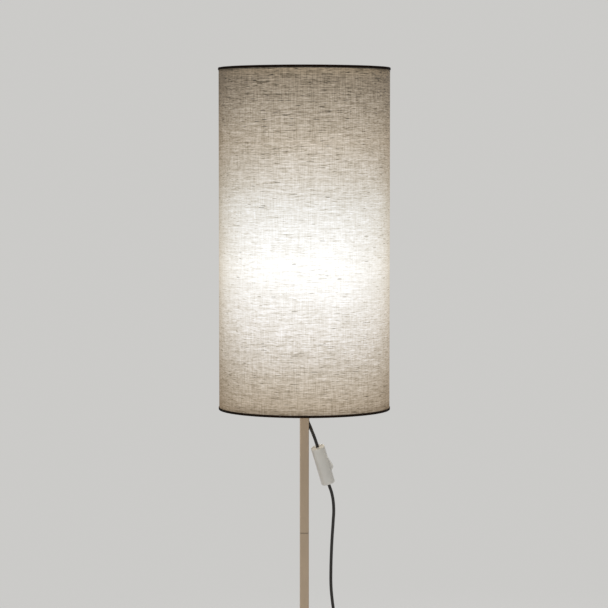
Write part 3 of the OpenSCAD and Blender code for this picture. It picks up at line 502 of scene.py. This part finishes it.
@dataclass(frozen=True)
class Linen(Finish):
    """Natural linen, its backlight painted on as light of its own: plain weave of uneven yarns, with dark
    slubs and knots among them.

    The veil is the colour that the cloth's outer fibres give to light leaving it, more so at a slant.
    """

    glow: Glow
    strength: float
    thread: float = 0.0011  # from the middle of one yarn to the next
    depth: float = 0.0002
    veil: Colour = (0.81, 0.765, 0.7)
    thick_yarn: Colour = (1.08, 1.0, 0.86)
    thin_yarn: Colour = (0.95, 1.0, 1.08)
    tint_span: Span = (0.5, 1.5)  # light through the thickest and the thinnest yarns, for their tints
    lit_span: Span = (0.18, 1.82)  # what is left of no light and of double light

    long_marks: float = 28.0  # thick and thin places in a metre of the weft
    short_marks: float = 120.0
    warp_marks: float = 34.0
    shares: tuple[float, ...] = (0.42, 0.35, 0.23)  # of these three, in their order
    lumps: float = 0.8  # relief of the thick places, beside a yarn's own height of 1

    slub_marks: float = 48.0
    slub_shift: float = 0.5  # in rows, so that slubs keep clear of the pattern of the other marks
    slub_span: Span = (0.61, 0.73)
    slub_pull: Span = (0.5, 0.32)  # the even thickness, outside a slub and in its middle
    knot_marks: float = 36.0
    knot_shift: float = 0.25
    knot_span: Span = (0.7, 0.74)
    knot_light: float = 0.3

    clouds: Point = (9.0, 13.0, 1.0)
    cloudiness: float = 0.04
    even_light: float = 1.03  # light through yarns of even thickness
    least_light: float = 0.04
    contrast_limit: float = 10.0
    contrast: tuple[Span, ...] = (
        (0.0, 4.2), (0.2, 3.4), (0.38, 1.7), (0.6, 2.4), (0.75, 4.0), (0.9, 5.6),
    )  # how strongly the yarns show at some shares of the height: least beside the bulb, washed out by its painted light

    sheet_width: float = 0.9545
    lap: float = 0.012
    # The lap's double layer is darker, in its light and in its colour: painted shade against the bulb.
    lap_light: float = 0.6
    lap_blur: float = 0.0005

    def dress(self, tree: NodeTree) -> None:
        """Fills the tree with the weave and the light that comes through it, painted on as light of its own.

        Args:
            tree: the empty tree.
        """
        along, up, _ = tree.parts(uv=True)
        row, column = self._count(tree, up), self._count(tree, along)
        uneven = tree.weigh(zip(self.shares, (
            self._yarn(tree, row, along, self.long_marks),
            self._yarn(tree, row, along, self.short_marks),
            self._yarn(tree, column, up, self.warp_marks),
        )))
        through = self._through(tree, along, row, uneven)
        over = tree.math("FLOORED_MODULO", tree.math("ADD", row, column), 2.0)
        relief = tree.weigh((
            (1.0, tree.math("MULTIPLY", self._roundness(tree, up), over)),
            (1.0, tree.math("MULTIPLY", self._roundness(tree, along), tree.math("SUBTRACT", 1.0, over))),
            (self.lumps, uneven),
        ))
        yarn = tree.mix(tree.remap(through, self.tint_span, WHOLE), self.thick_yarn, self.thin_yarn)
        lit = tree.shade(yarn, tree.remap(through, (0.0, 2.0), self.lit_span))
        # The cloth's own colour takes the light through it too: the yarns' marks are the weave's tone, but
        # the darker lap and the fainter marks beside the bulb are painted light and shade of the backlight.
        tree.surface(
            Base_Color=tree.shade(self.colour, through),
            Roughness=self.roughness,
            Sheen_Weight=0.08,
            Sheen_Roughness=0.6,
            Coat_Weight=1.0,
            Coat_IOR=1.05,
            Coat_Roughness=1.0,
            Coat_Tint=self.veil,
            Emission_Color=tree.tint(self.glow.colour(tree), lit),
            Emission_Strength=self.strength,
            Normal=tree.bump(relief, self.depth),
        )

    def _through(self, tree: NodeTree, along: Socket, row: Socket, uneven: Socket) -> Socket:
        """Finds how much light comes through the cloth.

        Args:
            tree: the material's nodes.
            along: the coordinate along the weft.
            row: the number of the weft yarn.
            uneven: how thick the yarns are, from 0 to 1.

        Returns:
            The light, 1 on the whole.
        """
        slub = self._yarn(tree, tree.math("ADD", row, self.slub_shift), along, self.slub_marks)
        knot = self._yarn(tree, tree.math("ADD", row, self.knot_shift), along, self.knot_marks)
        cloud = tree.noise(tree.place(self.clouds, uv=True), detail=3.0)
        # A row of colours holds numbers up to 1, so the contrast goes through it as shares of its limit.
        steps = [(place, (value / self.contrast_limit,) * 3) for place, value in self.contrast]
        contrast = tree.math("MULTIPLY", tree.blend(self.glow.share(tree), steps), self.contrast_limit)
        thin = tree.math("SUBTRACT", tree.remap(slub, self.slub_span, self.slub_pull), uneven)
        light = tree.math("ADD", tree.math("MULTIPLY", thin, contrast), self.even_light)
        lap_edge = self.sheet_width - self.lap
        lap_span = (lap_edge - self.lap_blur, lap_edge + self.lap_blur)
        return tree.product((
            tree.math("MAXIMUM", light, self.least_light),
            tree.remap(knot, self.knot_span, (1.0, self.knot_light)),
            tree.vary(cloud, self.cloudiness),
            tree.remap(along, lap_span, (1.0, self.lap_light)),
        ))

    def _count(self, tree: NodeTree, across: Socket) -> Socket:
        """Returns the number of the yarn that a point lies in, from the coordinate square to the yarns."""
        return tree.math("FLOOR", tree.math("DIVIDE", across, self.thread))

    def _roundness(self, tree: NodeTree, across: Socket) -> Socket:
        """Returns the height of the yarn: 1 along its middle and 0 at its sides."""
        return tree.math("ABSOLUTE", tree.math("SINE", tree.math("MULTIPLY", across, math.pi / self.thread)))

    def _yarn(self, tree: NodeTree, number: Socket, along: Socket, marks: float) -> Socket:
        """Varies each yarn along its length, apart from its neighbours.

        Args:
            tree: the material's nodes.
            number: the number of the yarn.
            along: the coordinate along it.
            marks: thick and thin places in a metre.

        Returns:
            How thick it is, from 0 to 1 round 0.5.
        """
        apart = 7.31  # how far two yarns lie from each other in the noise
        where = tree.node("ShaderNodeCombineXYZ")
        tree.feed(where.inputs["X"], tree.math("MULTIPLY", along, marks))
        tree.feed(where.inputs["Y"], tree.math("MULTIPLY", number, apart))
        return tree.noise(where.outputs[0], detail=1.5)


@dataclass(frozen=True)
class Film(Finish):
    """White film that the linen is laminated to, with the bulb's light on it painted on as light of its own,
    and the weave faint behind it.
    """

    glow: Glow
    strength: float
    weave: Point = (48.0, 820.0, 1.0)
    show: float = 0.05  # how far the weave changes the colour and the light
    depth: float = 0.00005

    def dress(self, tree: NodeTree) -> None:
        """Fills the tree with a satin skin and the bulb's light on it, painted on as light of its own.

        Args:
            tree: the empty tree.
        """
        weave = tree.noise(tree.place(self.weave, uv=True), detail=2.0)
        light = tree.vary(weave, self.show, NEARLY_ALL)
        tree.surface(
            Base_Color=tree.shade(self.colour, light),
            Roughness=self.roughness,
            Emission_Color=tree.shade(self.glow.colour(tree), light),
            Emission_Strength=self.strength,
            Normal=tree.bump(weave, self.depth),
        )


@dataclass(frozen=True)
class Tape(Finish):
    """Ribbed cotton tape round the rims."""

    rib: float = 0.0011  # from one rib to the next
    waver: float = 0.6
    fuzz: Point = (900.0, 2600.0, 1.0)
    wear: Point = (30.0, 200.0, 1.0)
    # The colour is lighter on the ribs and darker between them: painted light and shade of the relief.
    rib_painted_shading: Span = (0.75, 1.15)
    fuzz_light: Span = (0.85, 1.2)
    wear_light: Span = (0.9, 1.15)
    fuzz_height: float = 0.4  # beside the ribs' height of 1
    depth: float = 0.0002

    def dress(self, tree: NodeTree) -> None:
        """Fills the tree with ribs across the tape, painted lighter on their tops and darker between them,
        and the fuzz of its yarn.

        Args:
            tree: the empty tree.
        """
        waves = tree.node("ShaderNodeTexWave", wave_type="BANDS", bands_direction="X")
        tree.feed(waves.inputs["Vector"], tree.place((1.0, 1.0, 1.0), uv=True))
        tree.feed(waves.inputs["Scale"], math.pi / (10.0 * self.rib))  # a wave is pi / 10 long at scale 1
        tree.feed(waves.inputs["Distortion"], self.waver)
        ribs = waves.outputs["Fac"]
        fuzz = tree.noise(tree.place(self.fuzz, uv=True), detail=2.0)
        worn = tree.noise(tree.place(self.wear, uv=True), detail=3.0)
        light = tree.product((
            tree.remap(ribs, WHOLE, self.rib_painted_shading),
            tree.remap(fuzz, MOST, self.fuzz_light),
            tree.remap(worn, MOST, self.wear_light),
        ))
        tree.surface(
            Base_Color=tree.shade(self.colour, light),
            Roughness=self.roughness,
            Specular_IOR_Level=0.05,
            Normal=tree.bump(tree.weigh(((1.0, ribs), (self.fuzz_height, fuzz))), self.depth),
        )


# The bulb's light, painted by height on the linen and on the lining.
LINEN_GLOW = Glow((
    (0.0, (0.19, 0.17, 0.148)), (0.1, (0.302, 0.298, 0.294)), (0.25, (0.54, 0.58, 0.645)),
    (0.425, (0.735, 0.82, 0.945)), (0.6, (0.52, 0.575, 0.645)), (0.675, (0.398, 0.42, 0.445)),
    (0.78, (0.28, 0.277, 0.272)), (1.0, (0.03, 0.032, 0.033)),
))
FILM_GLOW = Glow((
    (0.0, (0.58, 0.51, 0.415)), (0.25, (0.7, 0.635, 0.54)), (0.425, (0.95, 0.89, 0.79)),
    (0.6, (0.55, 0.5, 0.415)), (1.0, (0.14, 0.12, 0.095)),
))

FINISHES: dict[Slot, Finish] = {
    Slot.SATIN_BRONZE: Metal("satin_bronze", (0.47, 0.37, 0.27), 0.42, marks=(1500.0, 1500.0, 16.0)),
    Slot.ZINC_STEEL: Metal("zinc_steel", (0.62, 0.62, 0.64), 0.35),
    Slot.DARK_STEEL: Metal("dark_steel", (0.05, 0.045, 0.04), 0.5),
    Slot.WHITE_STEEL: Moulding("white_steel", (0.8, 0.8, 0.77), 0.4, coat=0.2),
    Slot.BRASS: Metal("brass", (0.78, 0.58, 0.28), 0.3),
    Slot.NICKEL: Metal("nickel", (0.66, 0.64, 0.6), 0.25),
    Slot.PAD_RUBBER: Moulding("pad_rubber", (0.03, 0.03, 0.03), 0.85, depth=0.00006),
    Slot.CORD_SHEATH: Moulding("cord_sheath", (0.01, 0.0075, 0.0055), 0.46, mottle=0.08),
    Slot.BLUE_CORE: Moulding("blue_core", (0.02, 0.1, 0.4), 0.4),
    Slot.BROWN_CORE: Moulding("brown_core", (0.13, 0.05, 0.02), 0.4),
    Slot.BLACK_PLASTIC: Moulding("black_plastic", (0.03, 0.03, 0.03), 0.45, depth=0.00004),
    Slot.IVORY_PLASTIC: Moulding("ivory_plastic", (0.72, 0.68, 0.56), 0.4),
    Slot.WHITE_PLASTIC: Moulding("white_plastic", (0.72, 0.7, 0.65), 0.34, coat=0.2),
    Slot.OPAL_GLASS: Glass("opal_glass", (0.9, 0.88, 0.84), 0.2, strength=2.2),
    Slot.CLEAR_GLASS: Glass("clear_glass", (0.9, 0.92, 0.92), 0.05, clear=0.9),
    Slot.FILAMENT: Glass("filament", (0.9, 0.7, 0.3), 0.4, light=(1.0, 0.75, 0.35), strength=4.0),
    Slot.LINER_FILM: Film("liner_film", (0.72, 0.7, 0.65), 0.45, glow=FILM_GLOW, strength=0.42),
    Slot.LINEN: Linen("linen", (0.232, 0.182, 0.119), 0.9, glow=LINEN_GLOW, strength=1.5),
    Slot.RIM_TAPE: Tape("rim_tape", (0.009, 0.0045, 0.002), 0.9),
}


class Wardrobe:
    """Materials of the finishes, each made once, and the dressing of pieces in them."""

    def __init__(self) -> None:
        """Starts with no material made."""
        self._made: dict[Slot, bpy.types.Material] = {}

    def __getitem__(self, slot: Slot) -> bpy.types.Material:
        """Gives the material of a slot.

        Args:
            slot: the slot of the record.

        Returns:
            Its material, which is made at the first call.
        """
        if slot not in self._made:
            self._made[slot] = FINISHES[slot].material()
        return self._made[slot]

    def dress_frame(self) -> list[bpy.types.Object]:
        """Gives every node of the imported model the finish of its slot.

        Returns:
            The nodes.
        """
        nodes = []
        for subpart in frame["record"]["subparts"]:
            node = frame["nodes"][subpart["node"]]
            for holder in node.material_slots:
                holder.material = self[Slot(subpart["material_slot"])]
            nodes.append(node)
        return nodes

    def hand_over(self, piece: bpy.types.Object, slot: Slot, *nodes: str) -> None:
        """Dresses a new piece, and puts it in the place of nodes of the standing body.

        Args:
            piece: the new piece, a mesh or a curve.
            slot: the slot whose finish it takes all over.
            nodes: the nodes that it stands for.
        """
        piece.data.materials.append(self[slot])
        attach(piece, LAMP)
        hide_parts(*nodes)


# ------------------------------------------------------------------------------ building of pieces


def ease(value: float) -> float:
    """Returns a smooth step: 0 up to 0, 1 from 1 on, and level at both."""
    share = min(max(value, 0.0), 1.0)
    return share * share * (3.0 - 2.0 * share)


def arc(centre: Vector, radius: float, start: float, end: float, steps: int) -> list[Vector]:
    """Returns the corners of an arc of some chords in a plane, from one angle in degrees to another."""
    turns = (math.radians(start + (end - start) * index / steps) for index in range(steps + 1))
    return [centre + radius * Vector((math.cos(turn), math.sin(turn))) for turn in turns]


def piece_from(mesh_data: bmesh.types.BMesh, name: str) -> bpy.types.Object:
    """Makes an object of a finished bmesh, which is freed.

    Args:
        mesh_data: the shape, in its place.
        name: name of the piece.

    Returns:
        The new object, smooth shaded.
    """
    mesh = bpy.data.meshes.new(name)
    mesh_data.to_mesh(mesh)
    mesh_data.free()
    mesh.polygons.foreach_set("use_smooth", [True] * len(mesh.polygons))
    piece = bpy.data.objects.new(name, mesh)
    bpy.context.scene.collection.objects.link(piece)
    return piece


def thicken(piece: bpy.types.Object, thickness: float) -> None:
    """Gives a skin its thickness, behind the side that its faces point to.

    Args:
        piece: the skin.
        thickness: how thick it gets.
    """
    wall = piece.modifiers.new("wall", "SOLIDIFY")
    wall.thickness = thickness
    wall.offset = -1.0
    wall.use_even_offset = True
    wall.use_quality_normals = True


@dataclass
class Hoop:
    """A skin spun about the lamp's axis from a line of (radius, height) points.

    Its UV map is in metres: round the hoop from the back, and along the line.
    """

    line: list[tuple[float, float]]
    sides: int = 192

    def build(self) -> bmesh.types.BMesh:
        """Spins the line.

        Returns:
            The skin, with its faces pointing away from the axis at its widest.
        """
        skin = bmesh.new()
        points = [skin.verts.new((0.0, radius, height)) for radius, height in self.line]
        edges = [skin.edges.new(pair) for pair in zip(points, points[1:])]
        bmesh.ops.spin(
            skin, geom=points + edges, cent=(0, 0, 0), axis=(0, 0, 1), dvec=(0, 0, 0),
            angle=math.tau, steps=self.sides, use_merge=True, use_normal_flip=False, use_duplicate=False,
        )
        bmesh.ops.recalc_face_normals(skin, faces=skin.faces)
        self._unroll(skin)
        return skin

    def _unroll(self, skin: bmesh.types.BMesh) -> None:
        """Lays the UV map out flat, in metres.

        Args:
            skin: the spun skin.
        """
        girth = max(radius for radius, _ in self.line)
        layer = skin.loops.layers.uv.new("flat")
        for face in skin.faces:
            middle = face.calc_center_median()
            about = math.atan2(-middle.x, middle.y)
            for loop in face.loops:
                at = loop.vert.co
                turn = math.atan2(-at.x, at.y)
                turn += math.tau * round((about - turn) / math.tau)
                loop[layer].uv = (girth * turn, at.z + at.xy.length)


@dataclass
class RolledSheet:
    """A sheet cut flat, then rolled into an upright drum and lapped at the back.

    The lap's last layer lies further out than the first by the rise, or further in where that is less
    than 0. The UV map is the flat sheet in metres.
    """

    radius: float
    bottom: float
    top: float
    lap: float
    rise: float
    columns: int = 320
    rows: int = 30

    @property
    def width(self) -> float:
        """Returns the width of the flat sheet."""
        return math.tau * self.radius + self.lap

    @property
    def height(self) -> float:
        """Returns the height of the flat sheet."""
        return self.top - self.bottom

    def build(self) -> bmesh.types.BMesh:
        """Cuts the sheet and rolls it.

        Returns:
            The rolled skin, with its faces pointing outwards.
        """
        sheet = bmesh.new()
        half = 0.5  # of a square of one metre, which is then drawn out to the size of the sheet
        bmesh.ops.create_grid(sheet, x_segments=self.columns, y_segments=self.rows, size=half)
        for point in sheet.verts:
            point.co = ((point.co.x + half) * self.width, (point.co.y + half) * self.height, 0.0)
        layer = sheet.loops.layers.uv.new("flat")
        for face in sheet.faces:
            for loop in face.loops:
                loop[layer].uv = loop.vert.co.xy
        for point in sheet.verts:
            point.co = self._roll(point.co.x, point.co.y)
        sheet.normal_update()
        sample = next(iter(sheet.faces))
        if sample.normal.dot(sample.calc_center_median()) < 0.0:
            bmesh.ops.reverse_faces(sheet, faces=sheet.faces)
        return sheet

    def _roll(self, along: float, up: float) -> Vector:
        """Finds where a point of the flat sheet comes to lie.

        Args:
            along: distance from the hidden edge.
            up: distance from the lower edge.

        Returns:
            The point on the drum.
        """
        turn = (along - self.lap / 2) / self.radius
        climb = self.lap / 3  # the length in which it steps from the first layer onto the lap
        start = self.width - self.lap - climb
        radius = self.radius + self.rise * ease((along - start) / climb)
        return Vector((-radius * math.sin(turn), radius * math.cos(turn), self.bottom + up))


@dataclass
class Shade:
    """The linen drum, its lining and the tapes round its rims."""

    materials: Wardrobe
    tape_thickness: float = 0.001
    tape_height: float = 0.0042
    wire: float = 0.0035
    lap: float = 0.012
    linen_thickness: float = 0.0006
    film_thickness: float = 0.0004
    lap_rise: float = 1.04  # from one layer to the next, in thicknesses
    edge_steps: int = 4
    ring_steps: int = 14
    bottom: float = field(init=False)
    top: float = field(init=False)
    radius: float = field(init=False)

    def __post_init__(self) -> None:
        """Takes the drum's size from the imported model."""
        low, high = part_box("lower_tape"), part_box("upper_tape")
        self.bottom = low[0].z
        self.top = high[1].z
        self.radius = low[1].x - self.tape_thickness

    def build(self) -> list[bpy.types.Object]:
        """Builds and dresses the drum.

        Returns:
            Its pieces.
        """
        tapes = [
            self._tape("lower_rim_tape", "lower_tape", self.bottom, 1.0),
            self._tape("upper_rim_tape", "upper_tape", self.top, -1.0),
        ]
        return [*tapes, self._linen(), self._lining()]

    def _drum(self, radius: float, rise: float) -> RolledSheet:
        """Returns a sheet that is rolled to a radius and reaches from tape to tape."""
        edge = self.tape_thickness
        return RolledSheet(radius, self.bottom + edge, self.top - edge, self.lap, rise)

    def _linen(self) -> bpy.types.Object:
        """Rolls the linen round the drum.


        Returns:
            The linen.
        """
        sheet = self._drum(self.radius, self.lap_rise * self.linen_thickness)
        linen = piece_from(sheet.build(), "linen_drum")
        thicken(linen, self.linen_thickness)
        self.materials.hand_over(linen, Slot.LINEN, "shade_linen")
        sheet.width
        sheet.height
        return linen

    def _lining(self) -> bpy.types.Object:
        """Lines the linen with its film.

        Returns:
            The film.
        """
        sheet = self._drum(self.radius - self.linen_thickness, -self.lap_rise * self.film_thickness)
        film = piece_from(sheet.build(), "lining_film")
        thicken(film, self.film_thickness)
        self.materials.hand_over(film, Slot.LINER_FILM, "shade_liner")
        return film

    def _tape(self, name: str, node: str, rim: float, up: float) -> bpy.types.Object:
        """Folds one tape over a rim, round the wire ring and onto the lining.

        Args:
            name: name of the piece.
            node: the node that it stands for.
            rim: height of the rim's edge.
            up: 1 where the drum lies above the rim, or -1 where it lies below.

        Returns:
            The tape.
        """
        thick = self.tape_thickness
        hug = self.wire / 2 + thick
        ring = Vector((self.radius - thick - self.wire / 2, hug))
        inside = self.radius - self.linen_thickness - self.film_thickness
        line = [
            Vector((self.radius + thick, self.tape_height)),
            *arc(Vector((self.radius, thick)), thick, 0.0, -90.0, self.edge_steps),
            *arc(ring, hug, 270.0, 90.0, self.ring_steps),
            Vector((inside, ring.y + hug)),
        ]
        skin = Hoop([(point.x, rim + up * point.y) for point in line]).build()
        tape = piece_from(skin, name)
        thicken(tape, thick)
        self.materials.hand_over(tape, Slot.RIM_TAPE, node)
        return tape


# ------------------------------------------------------------------------------------------ cords


@dataclass
class Coil:
    """Spare cord wound flat beside the base, in on the floor and out again on top."""

    diameter: float
    start: Vector = field(default_factory=lambda: Vector((0.1, 0.195, 0.00275)))
    radius: float = 0.04
    pitch: float = 0.0061
    turns: float = 2.7
    climb: float = 0.25  # turns to each side of the innermost point in which it climbs
    steps: int = 18

    def points(self) -> list[Vector]:
        """Winds the coil.

        Returns:
            Points of its middle line, which runs straight for one diameter at each end.
        """
        middle = self.start - Vector((self.radius, 0.0, self.start.z))
        count = round(2 * self.turns * self.steps)
        line = [middle + self._at(2 * self.turns * index / count) for index in range(count + 1)]
        last = math.tau * 2 * self.turns
        lead_in = line[0] - Vector((0.0, self.diameter, 0.0))
        lead_out = line[-1] + self.diameter * Vector((-math.sin(last), math.cos(last), 0.0))
        return [lead_in, *line, lead_out]

    def _at(self, turn: float) -> Vector:
        """Gives one point of the winding.

        Args:
            turn: how many turns lie before it.

        Returns:
            The point, from the coil's middle on the floor.
        """
        off = abs(turn - self.turns)
        # The way in passes smoothly into the way out, round the innermost point.
        eased = off if off > self.climb else off * off / (2 * self.climb) + self.climb / 2
        radius = self.radius - self.pitch * self.turns + self.pitch * eased
        height = self.diameter / 2 + self.pitch * ease((turn - self.turns + self.climb) / (2 * self.climb))
        angle = math.tau * turn
        return Vector((radius * math.cos(angle), radius * math.sin(angle), height))


@dataclass
class Cords:
    """The mains lead: inside the column, out to the switch, and on to the coil and the plug."""

    materials: Wardrobe
    diameter: float = 0.0055
    round_steps: int = 6
    stretch_steps: int = 5
    in_column: list[Point] = field(default_factory=lambda: [
        (0, 0, 1.098), (0, 0, 1.08), (-0.0012, 0, 1.01), (-0.002, 0, 0.985), (-0.0024, 0, 0.962),
        (-0.0009, 0, 0.945), (0.0022, 0, 0.9355), (0.0057, 0, 0.929), (0.008, 0, 0.924),
    ])
    to_switch: list[Point] = field(default_factory=lambda: [
        (0.008, 0, 0.924), (0.0103, 0, 0.919), (0.0135, -0.0023, 0.911), (0.017, -0.0044, 0.9025),
        (0.0204, -0.0048, 0.893), (0.0235, -0.003, 0.883), (0.0278, 0.0007, 0.868),
    ])
    to_coil: list[Point] = field(default_factory=lambda: [
        (0.0381, 0.0095, 0.8325), (0.0424, 0.0132, 0.8176), (0.0493, 0.018, 0.7955), (0.0522, 0.021, 0.771),
        (0.0512, 0.023, 0.745), (0.0494, 0.0245, 0.717), (0.0481, 0.026, 0.688), (0.0474, 0.028, 0.659),
        (0.0476, 0.0305, 0.63), (0.05, 0.034, 0.602), (0.054, 0.039, 0.573), (0.058, 0.045, 0.543),
        (0.0625, 0.051, 0.513), (0.067, 0.058, 0.483), (0.071, 0.065, 0.453), (0.075, 0.072, 0.423),
        (0.079, 0.079, 0.393), (0.0825, 0.086, 0.363), (0.086, 0.093, 0.333), (0.089, 0.099, 0.303),
        (0.0915, 0.105, 0.273), (0.094, 0.111, 0.243), (0.096, 0.116, 0.213), (0.0975, 0.121, 0.183),
        (0.0985, 0.126, 0.153), (0.0995, 0.131, 0.123), (0.1, 0.136, 0.094), (0.1, 0.141, 0.066),
        (0.1, 0.147, 0.04), (0.1, 0.156, 0.018), (0.1, 0.169, 0.006), (0.1, 0.184, 0.00275),
    ])
    to_plug: list[Point] = field(default_factory=lambda: [
        (0.016, 0.2045, 0.006), (0.007, 0.1975, 0.0038), (-0.005, 0.193, 0.003), (-0.018, 0.1915, 0.0034),
        (-0.03, 0.1915, 0.0052), (-0.0425, 0.1915, 0.00685), (-0.048, 0.1915, 0.00685),
    ])

    def build(self) -> list[bpy.types.Object]:
        """Returns:
            The stretches.
        """
        inner = self._cord("lead_in_column", self.in_column, "inner_cord")

        upper = self._cord("lead_to_switch", self.to_switch, "upper_cord")
        switch = [name for name in frame["nodes"] if name.startswith(("switch_", "rocker_"))]
        self.to_switch[0]

        coil = Coil(self.diameter).points()
        route = [*map(Vector, self.to_coil), *coil, *map(Vector, self.to_plug)]
        lower = self._cord("mains_lead", route, "lower_cord", "cord_coil", "plug_lead")
        self.to_coil[0]
        return [inner, upper, lower]

    def _cord(self, name: str, route: Sequence[Vector | Point], *nodes: str) -> bpy.types.Object:
        """Lays one round cord along its route.

        Args:
            name: name of the piece.
            route: points of its middle line.
            nodes: the nodes that it stands for.

        Returns:
            The cord, as a curve.
        """
        curve = bpy.data.curves.new(name, "CURVE")
        curve.dimensions = "3D"
        curve.bevel_depth = self.diameter / 2
        curve.bevel_resolution = self.round_steps
        curve.resolution_u = self.stretch_steps
        curve.use_fill_caps = True
        spline = curve.splines.new("BEZIER")
        spline.bezier_points.add(len(route) - 1)
        for point, place in zip(spline.bezier_points, route):
            point.co = place
            point.handle_left_type = "AUTO"
            point.handle_right_type = "AUTO"
        for point in spline.bezier_points:
            self._keep_off_floor(point)
        spline.use_smooth = True
        cord = bpy.data.objects.new(name, curve)
        bpy.context.scene.collection.objects.link(cord)
        self.materials.hand_over(cord, Slot.CORD_SHEATH, *nodes)
        return cord

    def _keep_off_floor(self, point: bpy.types.BezierSplinePoint) -> None:
        """Lifts the handles that would bend the cord into the floor.

        Args:
            point: a point of the cord's middle line.
        """
        lowest = self.diameter / 2
        left, right = point.handle_left.copy(), point.handle_right.copy()
        if min(left.z, right.z) >= lowest:
            return
        left.z, right.z = max(left.z, lowest), max(right.z, lowest)
        point.handle_left_type = "FREE"
        point.handle_right_type = "FREE"
        point.handle_left, point.handle_right = left, right


# ----------------------------------------------------------------------------------------- studio


@dataclass(frozen=True)
class SoftBox:
    """One large soft lamp of the studio, with its size in metres and its power in watts."""

    name: str
    place: Point
    size: float
    power: float

    def build(self, aim: Vector) -> None:
        """Hangs the lamp.

        Args:
            aim: the point that it faces.
        """
        light = bpy.data.lights.new(self.name, "AREA")
        light.shape = "SQUARE"
        light.size = self.size
        light.energy = self.power
        lamp = bpy.data.objects.new(self.name, light)
        lamp.location = self.place
        lamp.rotation_euler = (aim - lamp.location).to_track_quat("-Z", "Y").to_euler()
        bpy.context.scene.collection.objects.link(lamp)


@dataclass
class Studio:
    """A pale floor that fades into a pale backdrop, soft light, and the photograph's viewpoint."""

    backdrop: Colour = (0.6, 0.595, 0.58)
    floor_colour: Colour = (0.6, 0.595, 0.58)
    floor_grain: Point = (60.0, 60.0, 60.0)
    floor_mottle: float = 0.01
    floor_margin: float = 0.2  # bare rim beyond the place where the floor has faded away
    floor_sides: int = 96
    fade_from: float = 1.5
    fade_to: float = 3.6
    fade_curve: float = 1.5
    ambient: float = 0.38
    focal_length: float = 143.25  # in millimetres, on a sensor of this width
    sensor_width: float = 36.0
    camera_at: Point = (-0.0006, -4.25, 1.395)
    camera_dip: float = 3.491  # degrees below level
    lamps: tuple[SoftBox, ...] = (
        SoftBox("key", (0.8, -3.0, 5.0), 2.0, 180.0),
        SoftBox("fill", (-3.4, -3.2, 1.6), 2.6, 32.0),
        SoftBox("back", (0.8, 4.2, 3.0), 2.6, 90.0),
    )

    def build(self) -> None:
        """Builds the studio."""
        bpy.context.scene.view_settings.view_transform = "Standard"
        self._world()
        self._floor()
        self._camera()
        low, high = CAD_BOX
        for lamp in self.lamps:
            lamp.build((Vector(low) + Vector(high)) / 2)

    def _world(self) -> None:
        """Lights the object evenly, and shows the backdrop to the camera, to gloss and through glass."""
        world = bpy.data.worlds.new("studio")
        bpy.context.scene.world = world
        world.use_nodes = True
        nodes, links = world.node_tree.nodes, world.node_tree.links
        nodes.clear()
        rays = nodes.new("ShaderNodeLightPath")
        seen = rays.outputs["Is Camera Ray"]
        for name in ("Is Glossy Ray", "Is Transmission Ray"):
            either = nodes.new("ShaderNodeMath")
            either.operation = "MAXIMUM"
            links.new(seen, either.inputs[0])
            links.new(rays.outputs[name], either.inputs[1])
            seen = either.outputs[0]
        light = nodes.new("ShaderNodeBackground")
        light.inputs["Color"].default_value = (1.0, 1.0, 1.0, 1.0)
        light.inputs["Strength"].default_value = self.ambient
        view = nodes.new("ShaderNodeBackground")
        view.inputs["Color"].default_value = (*self.backdrop, 1.0)
        view.inputs["Strength"].default_value = 1.0
        choice = nodes.new("ShaderNodeMixShader")
        links.new(seen, choice.inputs[0])
        links.new(light.outputs[0], choice.inputs[1])
        links.new(view.outputs[0], choice.inputs[2])
        output = nodes.new("ShaderNodeOutputWorld")
        links.new(choice.outputs[0], output.inputs["Surface"])

    def _floor(self) -> None:
        """Lays a round floor whose rim fades away."""
        disc = bmesh.new()
        radius = self.fade_to + self.floor_margin
        bmesh.ops.create_circle(disc, cap_ends=True, radius=radius, segments=self.floor_sides)
        floor = piece_from(disc, "studio_floor")
        tree = NodeTree("studio_floor")
        distance = tree.node("ShaderNodeVectorMath", operation="LENGTH")
        tree.feed(distance.inputs[0], tree.place((1.0, 1.0, 0.0)))
        left = tree.remap(distance.outputs["Value"], (self.fade_from, self.fade_to), (1.0, 0.0))
        grain = tree.noise(tree.place(self.floor_grain), detail=3.0)
        tree.surface(
            Base_Color=tree.shade(self.floor_colour, tree.vary(grain, self.floor_mottle)),
            Roughness=0.7,
            Alpha=tree.math("POWER", left, self.fade_curve),
        )
        floor.data.materials.append(tree.material)

    def _camera(self) -> None:
        """Stands the camera where the photograph was taken."""
        camera = bpy.data.objects.new("camera", bpy.data.cameras.new("camera"))
        camera.data.sensor_width = self.sensor_width
        camera.data.lens = self.focal_length
        camera.location = self.camera_at
        camera.rotation_euler = (math.radians(90.0 - self.camera_dip), 0.0, 0.0)
        bpy.context.scene.collection.objects.link(camera)
        bpy.context.scene.camera = camera


def main() -> None:
    """Builds the studio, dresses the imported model, adds the cords and the shade, and reports each piece."""
    logging.basicConfig(level=logging.INFO, format="%(name)s: %(message)s")
    Studio().build()
    materials = Wardrobe()
    pieces = [*materials.dress_frame(), *Cords(materials).build(), *Shade(materials).build()]
    for piece in pieces:
        LOG.info("%s, in %s", piece.name, piece.data.materials[0].name)


if __name__ == "__main__":
    main()
